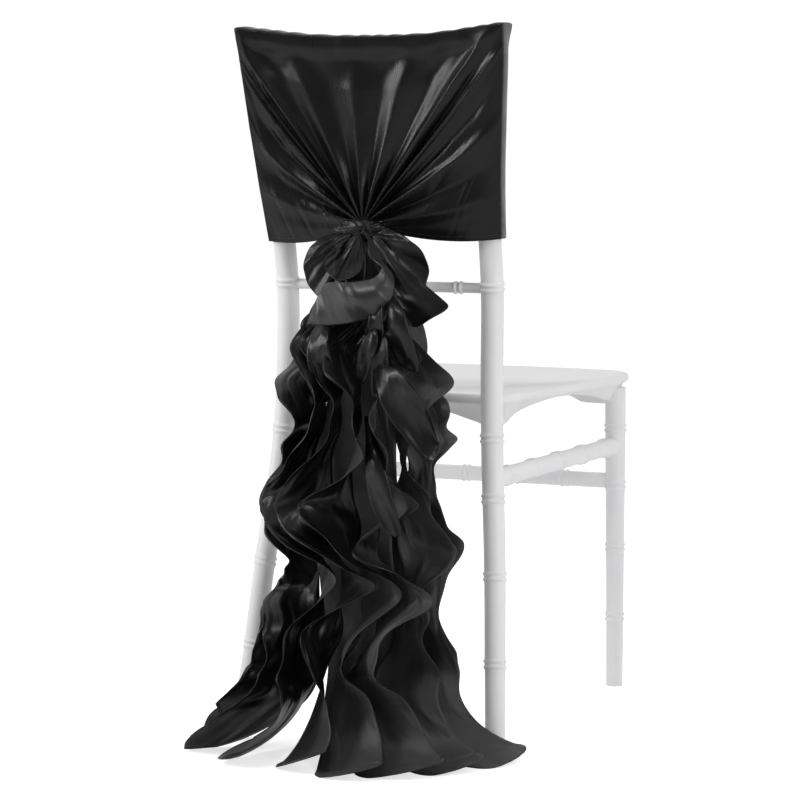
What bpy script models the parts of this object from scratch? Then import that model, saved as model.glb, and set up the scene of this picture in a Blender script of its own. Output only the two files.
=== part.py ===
# A ballroom chair with a gathered satin cap over its back and a bundle of curled sash strips.
# Metres, +Z up. The sash hangs on the -Y side, and the seat looks to +Y.
import math

import bmesh
import bpy
import numpy as np

for old in list(bpy.data.objects):
    bpy.data.objects.remove(old, do_unlink=True)

part = bpy.data.collections.new("chair_with_cover_and_sash")
cutting = bpy.data.collections.new("cutters")
bpy.context.scene.collection.children.link(part)
bpy.context.scene.collection.children.link(cutting)

# The shapes below are laid out from the middle of the rear feet, and this
# empty moves them so that the origin is under the middle of the whole.
SHIFT = (-0.0160, -0.1290, 0.0)
place = bpy.data.objects.new("place", None)
place.location = SHIFT
part.objects.link(place)


def material(name, colour, roughness, sheen=0.0):
    made = bpy.data.materials.new(name)
    made.use_nodes = True
    shader = made.node_tree.nodes["Principled BSDF"]
    shader.inputs["Base Color"].default_value = (*colour, 1.0)
    shader.inputs["Roughness"].default_value = roughness
    shader.inputs["Metallic"].default_value = 0.0
    shader.inputs["Sheen Weight"].default_value = sheen
    made.diffuse_color = (*colour, 1.0)
    return made


resin = material("white_resin", (0.86, 0.87, 0.88), 0.32)
satin = material("black_satin", (0.012, 0.012, 0.013), 0.34, 0.3)


def add(name, mesh, finish):
    """An object for one node of the part, with a copy of the finish as its own."""
    made = bpy.data.objects.new(name, mesh)
    part.objects.link(made)
    made.parent = place
    own = finish.copy()
    own.name = name + "_" + finish.name
    mesh.materials.clear()
    mesh.materials.append(own)
    mesh.shade_smooth()
    mesh.set_sharp_from_angle(angle=math.radians(40))
    return made


def smooth(low, high, x):
    t = np.clip((x - low) / (high - low), 0.0, 1.0)
    return t * t * (3 - 2 * t)


# Turned bamboo pieces: a bent centre line with a radius at each point.

def tube_mesh(name, points, radii):
    """A closed tube of eight sides along points, capped at both ends."""
    curve = bpy.data.curves.new(name, "CURVE")
    curve.dimensions = "3D"
    curve.bevel_depth = 1.0
    curve.bevel_resolution = 2
    curve.use_fill_caps = True
    spline = curve.splines.new("POLY")
    spline.points.add(len(points) - 1)
    for item, point, radius in zip(spline.points, points, radii):
        item.co = (*point, 1.0)
        item.radius = radius
    source = bpy.data.objects.new(name + "_curve", curve)
    cutting.objects.link(source)
    bpy.context.view_layer.update()
    mesh = bpy.data.meshes.new_from_object(source)
    bpy.data.objects.remove(source, do_unlink=True)
    shape = bmesh.new()
    shape.from_mesh(mesh)
    bmesh.ops.remove_doubles(shape, verts=shape.verts, dist=1e-6)
    bmesh.ops.recalc_face_normals(shape, faces=shape.faces)
    shape.to_mesh(mesh)
    shape.free()
    return mesh


def beaded(knots, radii, rings, extra=0.0, bead=0.0017):
    """Points and radii along knots, with a double bead at each ring.

    knots are (x, y, z); rings are distances along the line.
    """
    knots = np.array(knots, float)
    steps = np.linalg.norm(np.diff(knots, axis=0), axis=1)
    along = np.concatenate([[0.0], np.cumsum(steps)])
    marks = [(at, 0.0) for at in along]
    for ring in rings:
        for offset, rise in ((-0.0075, 0), (-0.004, 1), (0.0, 0.25), (0.004, 1), (0.0075, 0)):
            if 0.001 < ring + offset < along[-1] - 0.001:
                marks.append((ring + offset, rise))
    marks.sort()
    kept = []
    for at, rise in marks:
        near = kept and at - kept[-1][0] < 0.0015
        if near and rise >= kept[-1][1]:
            kept[-1] = (kept[-1][0], rise)
        elif not near:
            kept.append((at, rise))
    where = np.array([at for at, rise in kept])
    points = np.stack([np.interp(where, along, knots[:, i]) for i in range(3)], 1)
    wide = np.interp(where, along, radii)
    wide = wide + bead * np.array([rise for at, rise in kept]) + extra
    return points, wide


POST = (
    # height, half spacing, depth, radius
    (0.000, 0.1790, 0.0006, 0.0128),
    (0.006, 0.1790, 0.0006, 0.0128),
    (0.108, 0.1722, 0.0170, 0.0135),
    (0.217, 0.1643, 0.0360, 0.0140),
    (0.391, 0.1490, 0.0640, 0.0145),
    (0.480, 0.1460, 0.0700, 0.0148),
    (0.587, 0.1457, 0.0710, 0.0148),
    (0.660, 0.1466, 0.0592, 0.0148),
    (0.909, 0.1650, 0.0180, 0.0146),
    (0.9150, 0.1652, 0.0172, 0.0130),
    (0.9190, 0.1652, 0.0168, 0.0085),
)
POST_RINGS = (0.110, 0.222, 0.322, 0.400, 0.596)


def post(side, extra=0.0):
    knots = [(side * half, y, z) for z, half, y, r in POST]
    return beaded(knots, [r for z, half, y, r in POST], POST_RINGS, extra)


LEG = (
    # height, half spacing, depth, radius
    (0.000, 0.1880, 0.4480, 0.0118),
    (0.006, 0.1880, 0.4480, 0.0118),
    (0.200, 0.1885, 0.4450, 0.0130),
    (0.372, 0.1890, 0.4410, 0.0143),
    (0.4285, 0.1890, 0.4400, 0.0146),
)
LEG_RINGS = (0.100, 0.200, 0.290, 0.371)


def leg(side, extra=0.0):
    knots = [(side * half, y, z) for z, half, y, r in LEG]
    knots[-1] = (*knots[-1][:2], knots[-1][2] + extra)
    return beaded(knots, [r for z, half, y, r in LEG], LEG_RINGS, extra)


GAP = 0.0008
uprights = {}
for side, word in ((-1, "left"), (1, "right")):
    add("rear_post_" + word, tube_mesh("rear_post_" + word, *post(side)), resin)
    add("front_leg_" + word, tube_mesh("front_leg_" + word, *leg(side)), resin)
    for kind, shape in (("post", post), ("leg", leg)):
        cutter = bpy.data.objects.new(kind + "_cut_" + word, tube_mesh(kind + "_cut", *shape(side, GAP)))
        cutter.hide_render = True
        cutter.display_type = "WIRE"
        cutter.parent = place
        cutting.objects.link(cutter)
        uprights[kind, side] = cutter


def cut(target, cutters):
    for cutter in cutters:
        made = target.modifiers.new("clear_" + cutter.name, "BOOLEAN")
        made.operation = "DIFFERENCE"
        made.solver = "EXACT"
        made.object = cutter


# The rails reach into the uprights and are cut back to a hair's gap.

RAILS = (
    # name, first end, second end, radius, rings as shares of the length
    ("back_rail_lower", (-0.1457, 0.0710, 0.587), (0.1457, 0.0710, 0.587), 0.0068, (0.16, 0.84)),
    ("back_rail_middle", (-0.1548, 0.0410, 0.770), (0.1548, 0.0410, 0.770), 0.0068, ()),
    ("back_rail_top", (-0.1640, 0.0205, 0.8925), (0.1640, 0.0205, 0.8925), 0.0105, ()),
    ("front_stretcher", (-0.1890, 0.4430, 0.295), (0.1890, 0.4430, 0.295), 0.0108, (0.2, 0.4, 0.6, 0.8)),
)
for name, start, end, radius, shares in RAILS:
    length = math.dist(start, end)
    rings = [share * length for share in shares]
    rail = add(name, tube_mesh(name, *beaded([start, end], [radius, radius], rings)), resin)
    kind = "leg" if name == "front_stretcher" else "post"
    cut(rail, [uprights[kind, -1], uprights[kind, 1]])

for side, word in ((-1, "left"), (1, "right")):
    start = (side * 0.1535, 0.0560, 0.342)
    end = (side * 0.1890, 0.4415, 0.346)
    length = math.dist(start, end)
    rings = [share * length for share in (0.1, 0.3, 0.5, 0.7, 0.9)]
    name = "side_stretcher_" + word
    rail = add(name, tube_mesh(name, *beaded([start, end], [0.0118, 0.0122], rings)), resin)
    cut(rail, [uprights["post", side], uprights["leg", side]])


# The seat: a thin rimmed plate over a deeper apron with arched undersides.

SEAT = (
    # x, y of the right half of the outline, from the back to the front
    (0.070, 0.0740),
    (0.134, 0.0700),
    (0.155, 0.0860),
    (0.165, 0.1500),
    (0.184, 0.2340),
    (0.197, 0.3400),
    (0.205, 0.4200),
    (0.203, 0.4560),
    (0.186, 0.4760),
    (0.140, 0.4860),
    (0.070, 0.4920),
)
SEAT_RINGS = (
    # inset from the outline, height above the floor or None for the arched edge
    (0.0340, 0.4350),
    (0.0340, None),
    (0.0250, None),
    (0.0030, 0.4360),
    (0.0000, 0.4390),
    (0.0000, 0.4440),
    (0.0025, 0.4480),
    (0.0080, 0.4492),
    (0.0300, 0.4470),
    (0.1100, 0.4440),
)


def seat_rows():
    left = [(-x, y) for x, y in reversed(SEAT)]
    outline = np.array(list(SEAT) + [(0.0, 0.4930)] + left + [(0.0, 0.0735)])
    middle = np.array([0.0, 0.28])
    rows = []
    for inset, height in SEAT_RINGS:
        away = outline - middle
        reach = np.linalg.norm(away, axis=1)
        ring = middle + away * ((reach - inset) / reach)[:, None]
        across = np.minimum(1.0, np.abs(ring[:, 0]) / 0.14)
        along = np.minimum(1.0, np.abs(ring[:, 1] - 0.28) / 0.17)
        share = np.where(np.abs(ring[:, 0]) > 0.125, along, across)
        arch = 0.4290 - 0.0260 * share ** 2
        rows.append(np.column_stack([ring, arch if height is None else np.full(len(ring), height)]))
    return rows


def loft(name, rows):
    """A closed solid through rings of equal length, first and last filled."""
    mesh = bpy.data.meshes.new(name)
    count = len(rows[0])
    points = [tuple(p) for row in rows for p in row]
    faces = []
    for i in range(len(rows) - 1):
        for j in range(count):
            k = (j + 1) % count
            faces.append((i * count + j, i * count + k, (i + 1) * count + k, (i + 1) * count + j))
    faces.append(tuple(reversed(range(count))))
    last = (len(rows) - 1) * count
    faces.append(tuple(last + j for j in range(count)))
    mesh.from_pydata(points, [], faces)
    shape = bmesh.new()
    shape.from_mesh(mesh)
    bmesh.ops.recalc_face_normals(shape, faces=shape.faces)
    shape.to_mesh(mesh)
    shape.free()
    return mesh


seat = add("seat", loft("seat", seat_rows()), resin)
cut(seat, [uprights[kind, side] for kind in ("post", "leg") for side in (-1, 1)])


# The cap: one sheet over the top of the back. Its back panel is drawn to a
# pinch low in the middle, so folds run out from there like the ribs of a fan.

THICK = 0.0012
PINCH = np.array([-0.0125, 0.0170, 0.6680])
PINCH_RADIUS = 0.0106
CAP_SIDES = (
    # x, y, z of the back panel's outer edge: up the left side, over the top, down the right
    (
        (-0.1650, 0.0435, 0.6440),
        (-0.1699, 0.0300, 0.7200),
        (-0.1766, 0.0150, 0.8100),
        (-0.1832, 0.0010, 0.9080),
        (-0.1800, -0.0008, 0.9185),
    ),
    (
        (-0.1800, -0.0008, 0.9185),
        (-0.1540, 0.0020, 0.9180),
        (-0.0880, 0.0060, 0.9095),
        (0.0000, 0.0070, 0.9070),
        (0.0880, 0.0060, 0.9095),
        (0.1540, 0.0020, 0.9180),
        (0.1805, -0.0008, 0.9185),
    ),
    (
        (0.1805, -0.0008, 0.9185),
        (0.1842, 0.0010, 0.9080),
        (0.1774, 0.0150, 0.8100),
        (0.1712, 0.0300, 0.7250),
        (0.1674, 0.0435, 0.6520),
    ),
)
CAP_RAYS = (14, 19, 14)
CAP_FOLDS = (
    # place along the edge from 0 to 1, width, height in mm out of the panel
    (0.030, 0.018, 4.0),
    (0.075, 0.017, 8.0),
    (0.118, 0.016, -3.0),
    (0.165, 0.017, 8.0),
    (0.208, 0.016, -3.0),
    (0.266, 0.013, 7.0),
    (0.300, 0.015, 7.0),
    (0.398, 0.018, 5.0),
    (0.480, 0.018, 5.0),
    (0.574, 0.018, 5.0),
    (0.630, 0.020, -3.0),
    (0.692, 0.014, 10.0),
    (0.734, 0.012, 7.0),
    (0.775, 0.018, -3.0),
    (0.837, 0.017, 8.0),
    (0.885, 0.018, -3.0),
    (0.936, 0.017, 6.5),
    (0.976, 0.014, 3.0),
)


def spread(points, count):
    """Points at even distances along a line through points."""
    points = np.array(points, float)
    steps = np.linalg.norm(np.diff(points, axis=0), axis=1)
    along = np.concatenate([[0.0], np.cumsum(steps)])
    where = np.linspace(0.0, along[-1], count)
    return np.stack([np.interp(where, along, points[:, i]) for i in range(3)], 1)


def fold_height(a):
    """How far the folds stand out of the back panel at a share of its edge."""
    total = np.zeros_like(a)
    for place_at, wide, high in CAP_FOLDS:
        total += high * np.exp(-((a - place_at) / wide) ** 2)
    return total / 1000.0


def cap_edge():
    """The outer edge of the back panel, and the share of its length at each point."""
    left, over, right = [spread(side, count) for side, count in zip(CAP_SIDES, CAP_RAYS)]
    edge = np.concatenate([left[:-1], over, right[1:]])
    along = np.concatenate([[0.0], np.cumsum(np.linalg.norm(np.diff(edge, axis=0), axis=1))])
    return edge, along / along[-1]


def cap_grid(rows, wrap, front):
    """Rows of points: the fan from the pinch out, round the edge, down the front."""
    edge, a = cap_edge()
    hole = PINCH_RADIUS / np.linalg.norm((edge - PINCH)[:, [0, 2]], axis=1)
    grid = []
    for share in np.linspace(0.0, 1.0, rows):
        rho = hole + (1.0 - hole) * share ** 1.15
        ring = PINCH + rho[:, None] * (edge - PINCH)
        slack = rho * (1.0 - rho) * 4.0
        lift = fold_height(a) * (0.35 + 0.65 * (1 - rho)) * smooth(1.0, 0.80, rho)
        ring[:, 1] -= lift
        # the cloth sags back to the chair between the pinch and the edge
        ring[:, 1] += 0.006 * slack * (1.0 - rho)
        # the hem hangs a little lower beside the pinch
        low = np.maximum(smooth(0.10, 0.0, a), smooth(0.90, 1.0, a))
        ring[:, 2] -= 0.010 * low * slack
        grid.append(ring)
    depth = 0.0385
    for step in range(1, wrap + 1):
        angle = math.pi * step / wrap
        ring = edge.copy()
        bulge = math.sin(angle)
        ring[:, 1] += depth * (1 - math.cos(angle)) / 2
        top = smooth(0.26, 0.31, a) * smooth(0.74, 0.69, a)
        ring[:, 2] += 0.0030 * bulge * top
        ring[:, 0] += 0.0030 * bulge * (1 - top) * np.sign(edge[:, 0])
        grid.append(ring)
    last = grid[-1]
    hem_left, hem_right = last[0], last[-1]
    share = smooth(0.0, 1.0, a)[:, None]
    hem = hem_left + (hem_right - hem_left) * share
    hem[:, 2] += 0.004 * np.sin(math.pi * a)
    for step in range(1, front + 1):
        v = step / front
        ring = last + (hem - last) * v
        wave = np.sin(9 * a * math.pi + 1.0) * np.sin(math.pi * a)
        ring[:, 1] += 0.0035 * wave * math.sin(math.pi * v * 0.5)
        grid.append(ring)
    return np.array(grid)


def sheet_mesh(name, grid, flip=False):
    """An open sheet through a grid of points, doubled points made one."""
    rows, columns = grid.shape[:2]
    faces = []
    for i in range(rows - 1):
        for j in range(columns - 1):
            corner = i * columns + j
            face = (corner, corner + 1, corner + columns + 1, corner + columns)
            faces.append(tuple(reversed(face)) if flip else face)
    mesh = bpy.data.meshes.new(name)
    mesh.from_pydata([tuple(p) for p in grid.reshape(-1, 3)], [], faces)
    shape = bmesh.new()
    shape.from_mesh(mesh)
    bmesh.ops.remove_doubles(shape, verts=shape.verts, dist=1e-5)
    shape.to_mesh(mesh)
    shape.free()
    return mesh


def add_sheet(name, grid, offset, flip=False):
    made = add(name, sheet_mesh(name, grid, flip), satin)
    thick = made.modifiers.new("thickness", "SOLIDIFY")
    thick.thickness = THICK
    thick.offset = offset
    return made


add_sheet("chair_cap", cap_grid(9, 4, 5), -1.0, flip=True)


# The knot that draws the cap in: a neck through the pinch and a pleated head.

KNOT = (
    # y, half width, half height, middle x, middle z, depth of the pleats
    (0.0210, 0.0098, 0.0098, -0.0125, 0.6680, 0.0),
    (0.0070, 0.0098, 0.0098, -0.0125, 0.6680, 0.0),
    (0.0045, 0.0180, 0.0120, -0.0090, 0.6645, 0.4),
    (0.0000, 0.0290, 0.0140, -0.0060, 0.6630, 1.0),
    (-0.0060, 0.0350, 0.0145, -0.0040, 0.6625, 1.0),
    (-0.0120, 0.0310, 0.0140, -0.0030, 0.6625, 1.0),
    (-0.0165, 0.0190, 0.0120, -0.0030, 0.6630, 1.0),
    (-0.0185, 0.0080, 0.0050, -0.0030, 0.6640, 0.5),
)
KNOT_BASE = 0.6506


def knot_rows(sides):
    rows = []
    turn = np.linspace(0.0, 2 * math.pi, sides, endpoint=False)
    for y, wide, high, x, z, pleats in KNOT:
        pleat = 1.0 + pleats * (0.06 * np.sin(5 * turn + 1.2) + 0.04 * np.sin(8 * turn))
        ring = np.column_stack([
            x + wide * pleat * np.cos(turn),
            np.full(sides, y),
            np.maximum(z + high * pleat * np.sin(turn), KNOT_BASE),
        ])
        rows.append(ring)
    return rows


add("sash_knot", loft("sash_knot", knot_rows(24)), satin)


# Three short ruffles fan out below the knot, in front of the long strips.

RUFFLES = {
    "ruffle_left": ((-0.0120, -0.0188, 0.6570), (
        # x, y, z of the free edge, from the top round to the bottom
        (-0.0290, -0.0200, 0.6600),
        (-0.0470, -0.0220, 0.6560),
        (-0.0640, -0.0300, 0.6410),
        (-0.0700, -0.0380, 0.6180),
        (-0.0630, -0.0450, 0.5940),
        (-0.0430, -0.0480, 0.5780),
        (-0.0240, -0.0470, 0.5820),
        (-0.0080, -0.0440, 0.5970),
    )),
    "ruffle_right": ((0.0140, -0.0166, 0.6560), (
        (0.0360, -0.0200, 0.6660),
        (0.0660, -0.0220, 0.6550),
        (0.0920, -0.0300, 0.6370),
        (0.1010, -0.0370, 0.6150),
        (0.0990, -0.0420, 0.5950),
        (0.1340, -0.0450, 0.5700),
        (0.1130, -0.0540, 0.5550),
        (0.0900, -0.0600, 0.5440),
        (0.0660, -0.0580, 0.5640),
        (0.0420, -0.0520, 0.5900),
    )),
    "ruffle_middle": ((-0.0030, -0.0165, 0.6600), (
        (-0.0220, -0.0460, 0.6470),
        (-0.0280, -0.0600, 0.6300),
        (-0.0240, -0.0700, 0.6110),
        (-0.0060, -0.0740, 0.6010),
        (0.0120, -0.0740, 0.6050),
        (0.0220, -0.0680, 0.6150),
        (0.0230, -0.0570, 0.6280),
        (0.0200, -0.0450, 0.6400),
    )),
}
RUFFLE_FOLDS = {
    # folds over the spread, height in mm, turn, how far the middle hollows in mm
    "ruffle_left": (2.0, 3.0, 0.3, -6.0),
    "ruffle_right": (2.5, 5.0, 1.9, -4.0),
    "ruffle_middle": (3.0, 3.0, 0.8, 4.0),
}


def ruffle_grid(name, rays, rows):
    root, edge = RUFFLES[name]
    count, high, turn, hollow = RUFFLE_FOLDS[name]
    root = np.array(root)
    edge = spread(edge, rays)
    a = np.linspace(0.0, 1.0, rays)
    grid = []
    for share in np.linspace(0.0, 1.0, rows):
        rho = 0.10 + 0.90 * share
        ring = root + rho * (edge - root)
        wave = np.sin(2 * math.pi * count * a + turn) * high * rho
        bowl = hollow * math.sin(math.pi * rho) * np.sin(math.pi * a)
        ring[:, 1] += (wave + bowl) / 1000.0
        grid.append(ring)
    return np.array(grid)


for name in RUFFLES:
    add_sheet(name, ruffle_grid(name, 17, 6), 0.0)


# A fourth ruffle curls round in front of them like the rim of a flower.

CURL_TOP = (
    (0.0030, -0.0194, 0.6640),
    (0.0220, -0.0460, 0.6520),
    (0.0340, -0.0660, 0.6330),
    (0.0560, -0.0780, 0.6220),
    (0.0540, -0.0980, 0.6080),
    (0.0300, -0.1080, 0.6020),
    (0.0040, -0.1030, 0.6010),
    (-0.0150, -0.0920, 0.5980),
    (-0.0310, -0.0850, 0.5790),
    (-0.0450, -0.0800, 0.5560),
)
CURL_FOOT = (
    (0.0080, -0.0190, 0.6600),
    (0.0320, -0.0440, 0.6440),
    (0.0480, -0.0600, 0.6260),
    (0.0700, -0.0740, 0.6040),
    (0.0740, -0.0900, 0.5800),
    (0.0560, -0.1000, 0.5620),
    (0.0260, -0.0980, 0.5510),
    (-0.0060, -0.0900, 0.5460),
    (-0.0280, -0.0840, 0.5440),
    (-0.0480, -0.0780, 0.5410),
)


def curl_grid(rays, rows):
    top, foot = spread(CURL_TOP, rays), spread(CURL_FOOT, rays)
    bow = np.sin(math.pi * np.linspace(0.0, 1.0, rays))
    grid = []
    for share in np.linspace(0.0, 1.0, rows):
        ring = top + share * (foot - top)
        ring[:, 1] -= 0.006 * bow * math.sin(math.pi * share)
        grid.append(ring)
    return np.array(grid)


add_sheet("ruffle_front", curl_grid(17, 4), 0.0)


# The long strips. Each hangs from the knot by its straight edge, which runs
# down one place of a ring, and its other edge is the longer, so it swings from
# side to side like a willow leaf. Below, every strip runs out onto the floor.

STRIPS = (
    # ring angle, foot angle, reach, width, phase, pitch, swing, drop, lean
    (-112, -68, 0.210, 0.094, 275, 0.212, 60, 0.066, 44),
    (-74, -49, 0.232, 0.088, 261, 0.148, 82, 0.062, 50),
    (-46, -27, 0.216, 0.090, 140, 0.225, 81, 0.086, 60),
    (-14, -3, 0.184, 0.088, 99, 0.203, 81, 0.086, 70),
    (13, 19, 0.205, 0.088, 18, 0.192, 80, 0.062, 76),
    (38, 39, 0.202, 0.106, 133, 0.159, 81, 0.073, 78),
    (75, 59, 0.208, 0.086, 92, 0.185, 60, 0.088, 78),
    (101, 81, 0.224, 0.084, 183, 0.148, 64, 0.088, 78),
)
TOP = 0.6500
BEND = 0.1150
FLOOR = -0.0015
LYING = THICK / 2 + 0.0002
# how unevenly the waves follow each other, how deep the dents are, and how
# far behind the straight edge the wave of the free edge runs
WANDER = 0.016
CRUMPLE = 0.0032
CURL = 1.0
UPRIGHT = TOP - BEND
DOWN = np.linspace(0.0, UPRIGHT + 0.26, 240)
ACROSS = np.linspace(0.0, 1.0, 21)


def ring_radius(z):
    return 0.014 + 0.020 * smooth(0.65, 0.57, z) + 0.030 * smooth(0.58, 0.34, z)


def ring_middle(z):
    x = -0.004 + 0.011 * smooth(0.64, 0.40, z) + 0.007 * np.sin(z * 14.0)
    y = -0.004 - 0.026 * smooth(0.65, 0.46, z)
    return x, y


def crumpled(points):
    """Soft dents and swells that run through neighbouring strips alike."""
    x, y, z = points[..., 0], points[..., 1], points[..., 2]
    much = CRUMPLE * smooth(0.63, 0.52, z) * smooth(0.015, 0.12, z)
    full = 2 * math.pi
    over = np.sin(full * (y / 0.085 + z / 0.150) + 1.0)
    over = over + 0.6 * np.sin(full * (y / 0.140 - z / 0.067))
    along = np.sin(full * (x / 0.095 - z / 0.130) + 2.0)
    along = along + 0.6 * np.sin(full * (x / 0.150 + z / 0.074))
    return points + np.stack([much * over, much * along, 0 * z], -1)


def kept_apart(angles, gap):
    """The nearest angles in which each strip stays a gap past the one before."""
    step = np.arange(len(angles))[:, None, None] * gap
    free = angles - step
    total = np.concatenate([np.zeros((1,) + free.shape[1:]), np.cumsum(free, 0)])
    held = np.empty_like(free)
    for i in range(len(free)):
        best = None
        for first in range(i + 1):
            least = None
            for last in range(i, len(free)):
                mean = (total[last + 1] - total[first]) / (last - first + 1)
                least = mean if least is None else np.minimum(least, mean)
            best = least if best is None else np.maximum(best, least)
        held[i] = best
    return held + step


def eased(angles, length):
    """Angles averaged down the strips over about this length."""
    step = DOWN[1] - DOWN[0]
    reach = int(3 * length / step)
    weights = np.exp(-0.5 * (np.arange(-reach, reach + 1) * step / length) ** 2)
    weights /= weights.sum()
    first = np.repeat(angles[:, :1], reach, 1)
    last = np.repeat(angles[:, -1:], reach, 1)
    padded = np.concatenate([first, angles, last], 1)
    return sum(w * padded[:, i:i + angles.shape[1]] for i, w in enumerate(weights))


def strip_fields():
    """A fine grid of points for every strip, and its length, drop and lean."""
    table = np.array(STRIPS, float)
    ring, foot, phase, swing, lean = [np.radians(table[:, i])[:, None] for i in (0, 1, 4, 6, 8)]
    reach, width, pitch, drop = table[:, 2], table[:, 3], table[:, 5][:, None], table[:, 7]
    flare = smooth(UPRIGHT - 0.10, UPRIGHT + 0.07, DOWN)
    around = ring + (foot - ring) * smooth(0.25, UPRIGHT + 0.06, DOWN)
    flat = 0.66 + 0.34 * flare
    facing = np.arctan2(np.sin(around), np.cos(around) / flat)
    facing = around + (facing - around + math.pi) % (2 * math.pi) - math.pi
    # no two waves of a strip are the same length or swing as far
    stray = WANDER * np.sin(2 * math.pi * DOWN / 0.33 + 2.3 * phase)
    angle = phase + 2 * math.pi * (DOWN + stray) / pitch
    vigour = 0.84 + 0.16 * np.sin(2 * math.pi * DOWN / 0.23 + 1.7 * phase)
    grown = swing * vigour * (0.5 + 0.5 * smooth(0.0, 0.12, DOWN))
    wanted = facing[:, :, None] + grown[:, :, None] * np.sin(angle[:, :, None] - CURL * ACROSS)
    turned = eased(kept_apart(wanted, math.radians(1.5)), 0.010)
    most = math.radians(72)
    turned = np.clip(turned - facing[:, :, None], -most, most)
    turned = turned * (1 - flare[:, None]) + lean[:, :, None] * flare[:, None]
    made = []
    for k in range(len(table)):
        start = float(ring_radius(BEND))
        t = np.linspace(0.0, 1.0, 120)[:, None]
        bend = (1 - t) ** 2 * np.array([start, BEND])
        bend = bend + 2 * (1 - t) * t * np.array([start + 0.008, 0.02])
        bend = bend + t ** 2 * np.array([reach[k] - 0.035, FLOOR])
        bend = np.vstack([bend, [[reach[k], FLOOR]]])
        along = np.linalg.norm(np.diff(bend, axis=0), axis=1)
        along = np.concatenate([[0.0], np.cumsum(along)])
        length = UPRIGHT + along[-1]
        s = np.minimum(DOWN, length)
        z = np.where(s < UPRIGHT, TOP - s, np.interp(s - UPRIGHT, along, bend[:, 1]))
        run_out = np.interp(s - UPRIGHT, along, bend[:, 0])
        far = np.where(s < UPRIGHT, ring_radius(np.maximum(z, BEND)), run_out)
        slope = np.arctan2(np.gradient(bend[:, 0]), -np.gradient(bend[:, 1]))
        tilt = np.interp(s - UPRIGHT, along, slope) * smooth(UPRIGHT - 0.02, UPRIGHT + 0.05, s)
        wide = width[k] * (1 + 0.04 * flare)
        back = wide / np.maximum(far, 0.02) / 2 * math.sin(lean[k, 0]) * flare
        at, out = around[k] - back, facing[k] - back
        outward = np.stack([np.sin(out) * np.cos(tilt), -np.cos(out) * np.cos(tilt), np.sin(tilt)], -1)
        sideways = np.stack([np.cos(out), np.sin(out), 0 * out], -1)
        leaf = 0.14 * np.sin(angle[k] + 1.0) - 0.13 * np.cos(2 * angle[k] - 0.8)
        share = 0.74 + leaf * (1 - flare) + 0.26 * flare
        share = np.clip(share, 0.0, 1.0) * (0.22 + 0.78 * smooth(0.03, 0.17, DOWN))
        way = np.cos(turned[k])[:, :, None] * outward[:, None]
        way = way + np.sin(turned[k])[:, :, None] * sideways[:, None]
        step = (wide * share / (len(ACROSS) - 1))[:, None, None]
        swept = np.cumsum(0.5 * (way[:, 1:] + way[:, :-1]) * step, axis=1)
        swept = np.concatenate([np.zeros((len(DOWN), 1, 3)), swept], 1)
        x, y = ring_middle(z)
        hinge = np.stack([x + far * np.sin(at), y - far * np.cos(at) * flat, z], -1)
        made.append((crumpled(hinge[:, None] + swept), length, drop[k], table[k, 8]))
    return made


def strip_grid(field, rows, columns):
    """Points down and across one strip, with a rounded lower end."""
    points, length, drop, lean = field
    s = np.linspace(0.0, length, rows)[:, None]
    # one that stands on edge ends in a long slope, one that lies flat in a blunt round
    flat = smooth(42.0, 76.0, lean)
    tip = 0.120 - 0.090 * flat
    centre = 0.5 * flat
    narrow = np.sqrt(np.clip(1 - np.clip((s - (length - tip)) / tip, 0, 1) ** 2.6, 0.03, 1))
    t = centre + (np.linspace(0.0, 1.0, columns)[None] - centre) * narrow
    s = s + t * drop * (1 - smooth(length - 0.27, length - 0.06, s))
    s = np.minimum(s, length - 1e-6)
    u = s / (DOWN[1] - DOWN[0])
    i = np.clip(u.astype(int), 0, len(DOWN) - 2)
    u = (u - i)[..., None]
    v = t * (len(ACROSS) - 1)
    j = np.clip(v.astype(int), 0, len(ACROSS) - 2)
    v = (v - j)[..., None]
    near = points[i, j] * (1 - u) + points[i + 1, j] * u
    beyond = points[i, j + 1] * (1 - u) + points[i + 1, j + 1] * u
    grid = near * (1 - v) + beyond * v
    # the edge that reaches the floor lies flat on it
    grid[..., 2] = np.maximum(grid[..., 2], LYING)
    return grid


for number, field in enumerate(strip_fields(), 1):
    add_sheet(f"sash_strip_{number:02d}", strip_grid(field, 38, 6), 0.0)


# Two straighter strips hang inside the ring and end just above the floor.

INNER = (
    # name, depth from the ring's middle, lower end, phase
    ("sash_strip_09", -0.011, 0.020, 0.4),
    ("sash_strip_10", 0.011, 0.034, 2.6),
)


def inner_grid(depth, low, phase, rows, columns):
    z = np.linspace(TOP, low, rows)[:, None]
    t = np.linspace(-1.0, 1.0, columns)[None]
    tip = 0.035
    narrow = np.sqrt(np.clip(1 - np.clip((low + tip - z) / tip, 0, 1) ** 2, 0.03, 1))
    radius = ring_radius(np.maximum(z, BEND))
    x, y = ring_middle(z)
    wave = np.sin(2.6 * t + 2 * math.pi * z / 0.19 + phase)
    flat = depth / 0.011 * radius * 0.19
    return np.stack([
        x + t * narrow * radius * 0.82,
        y + flat + 0.10 * radius * wave,
        z + 0 * t,
    ], -1)


for name, depth, low, phase in INNER:
    add_sheet(name, inner_grid(depth, low, phase, 30, 6), 0.0)
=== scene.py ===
# %% [markdown]
# # A ballroom chair in a satin cap and sash
# A white moulded chair, turned to look like bamboo, wears a black satin cap over
# the top of its back. The cap is drawn together low in the middle by a knot, and
# from the knot hang ruffles and long curled strips that run out onto the floor.
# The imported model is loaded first. It fixes every size, and each piece made
# below stands in the place of one or more of its solids.

# %% Load the frame
import math

import bmesh
import bpy
import numpy as np
from mathutils import Matrix, Vector


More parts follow.
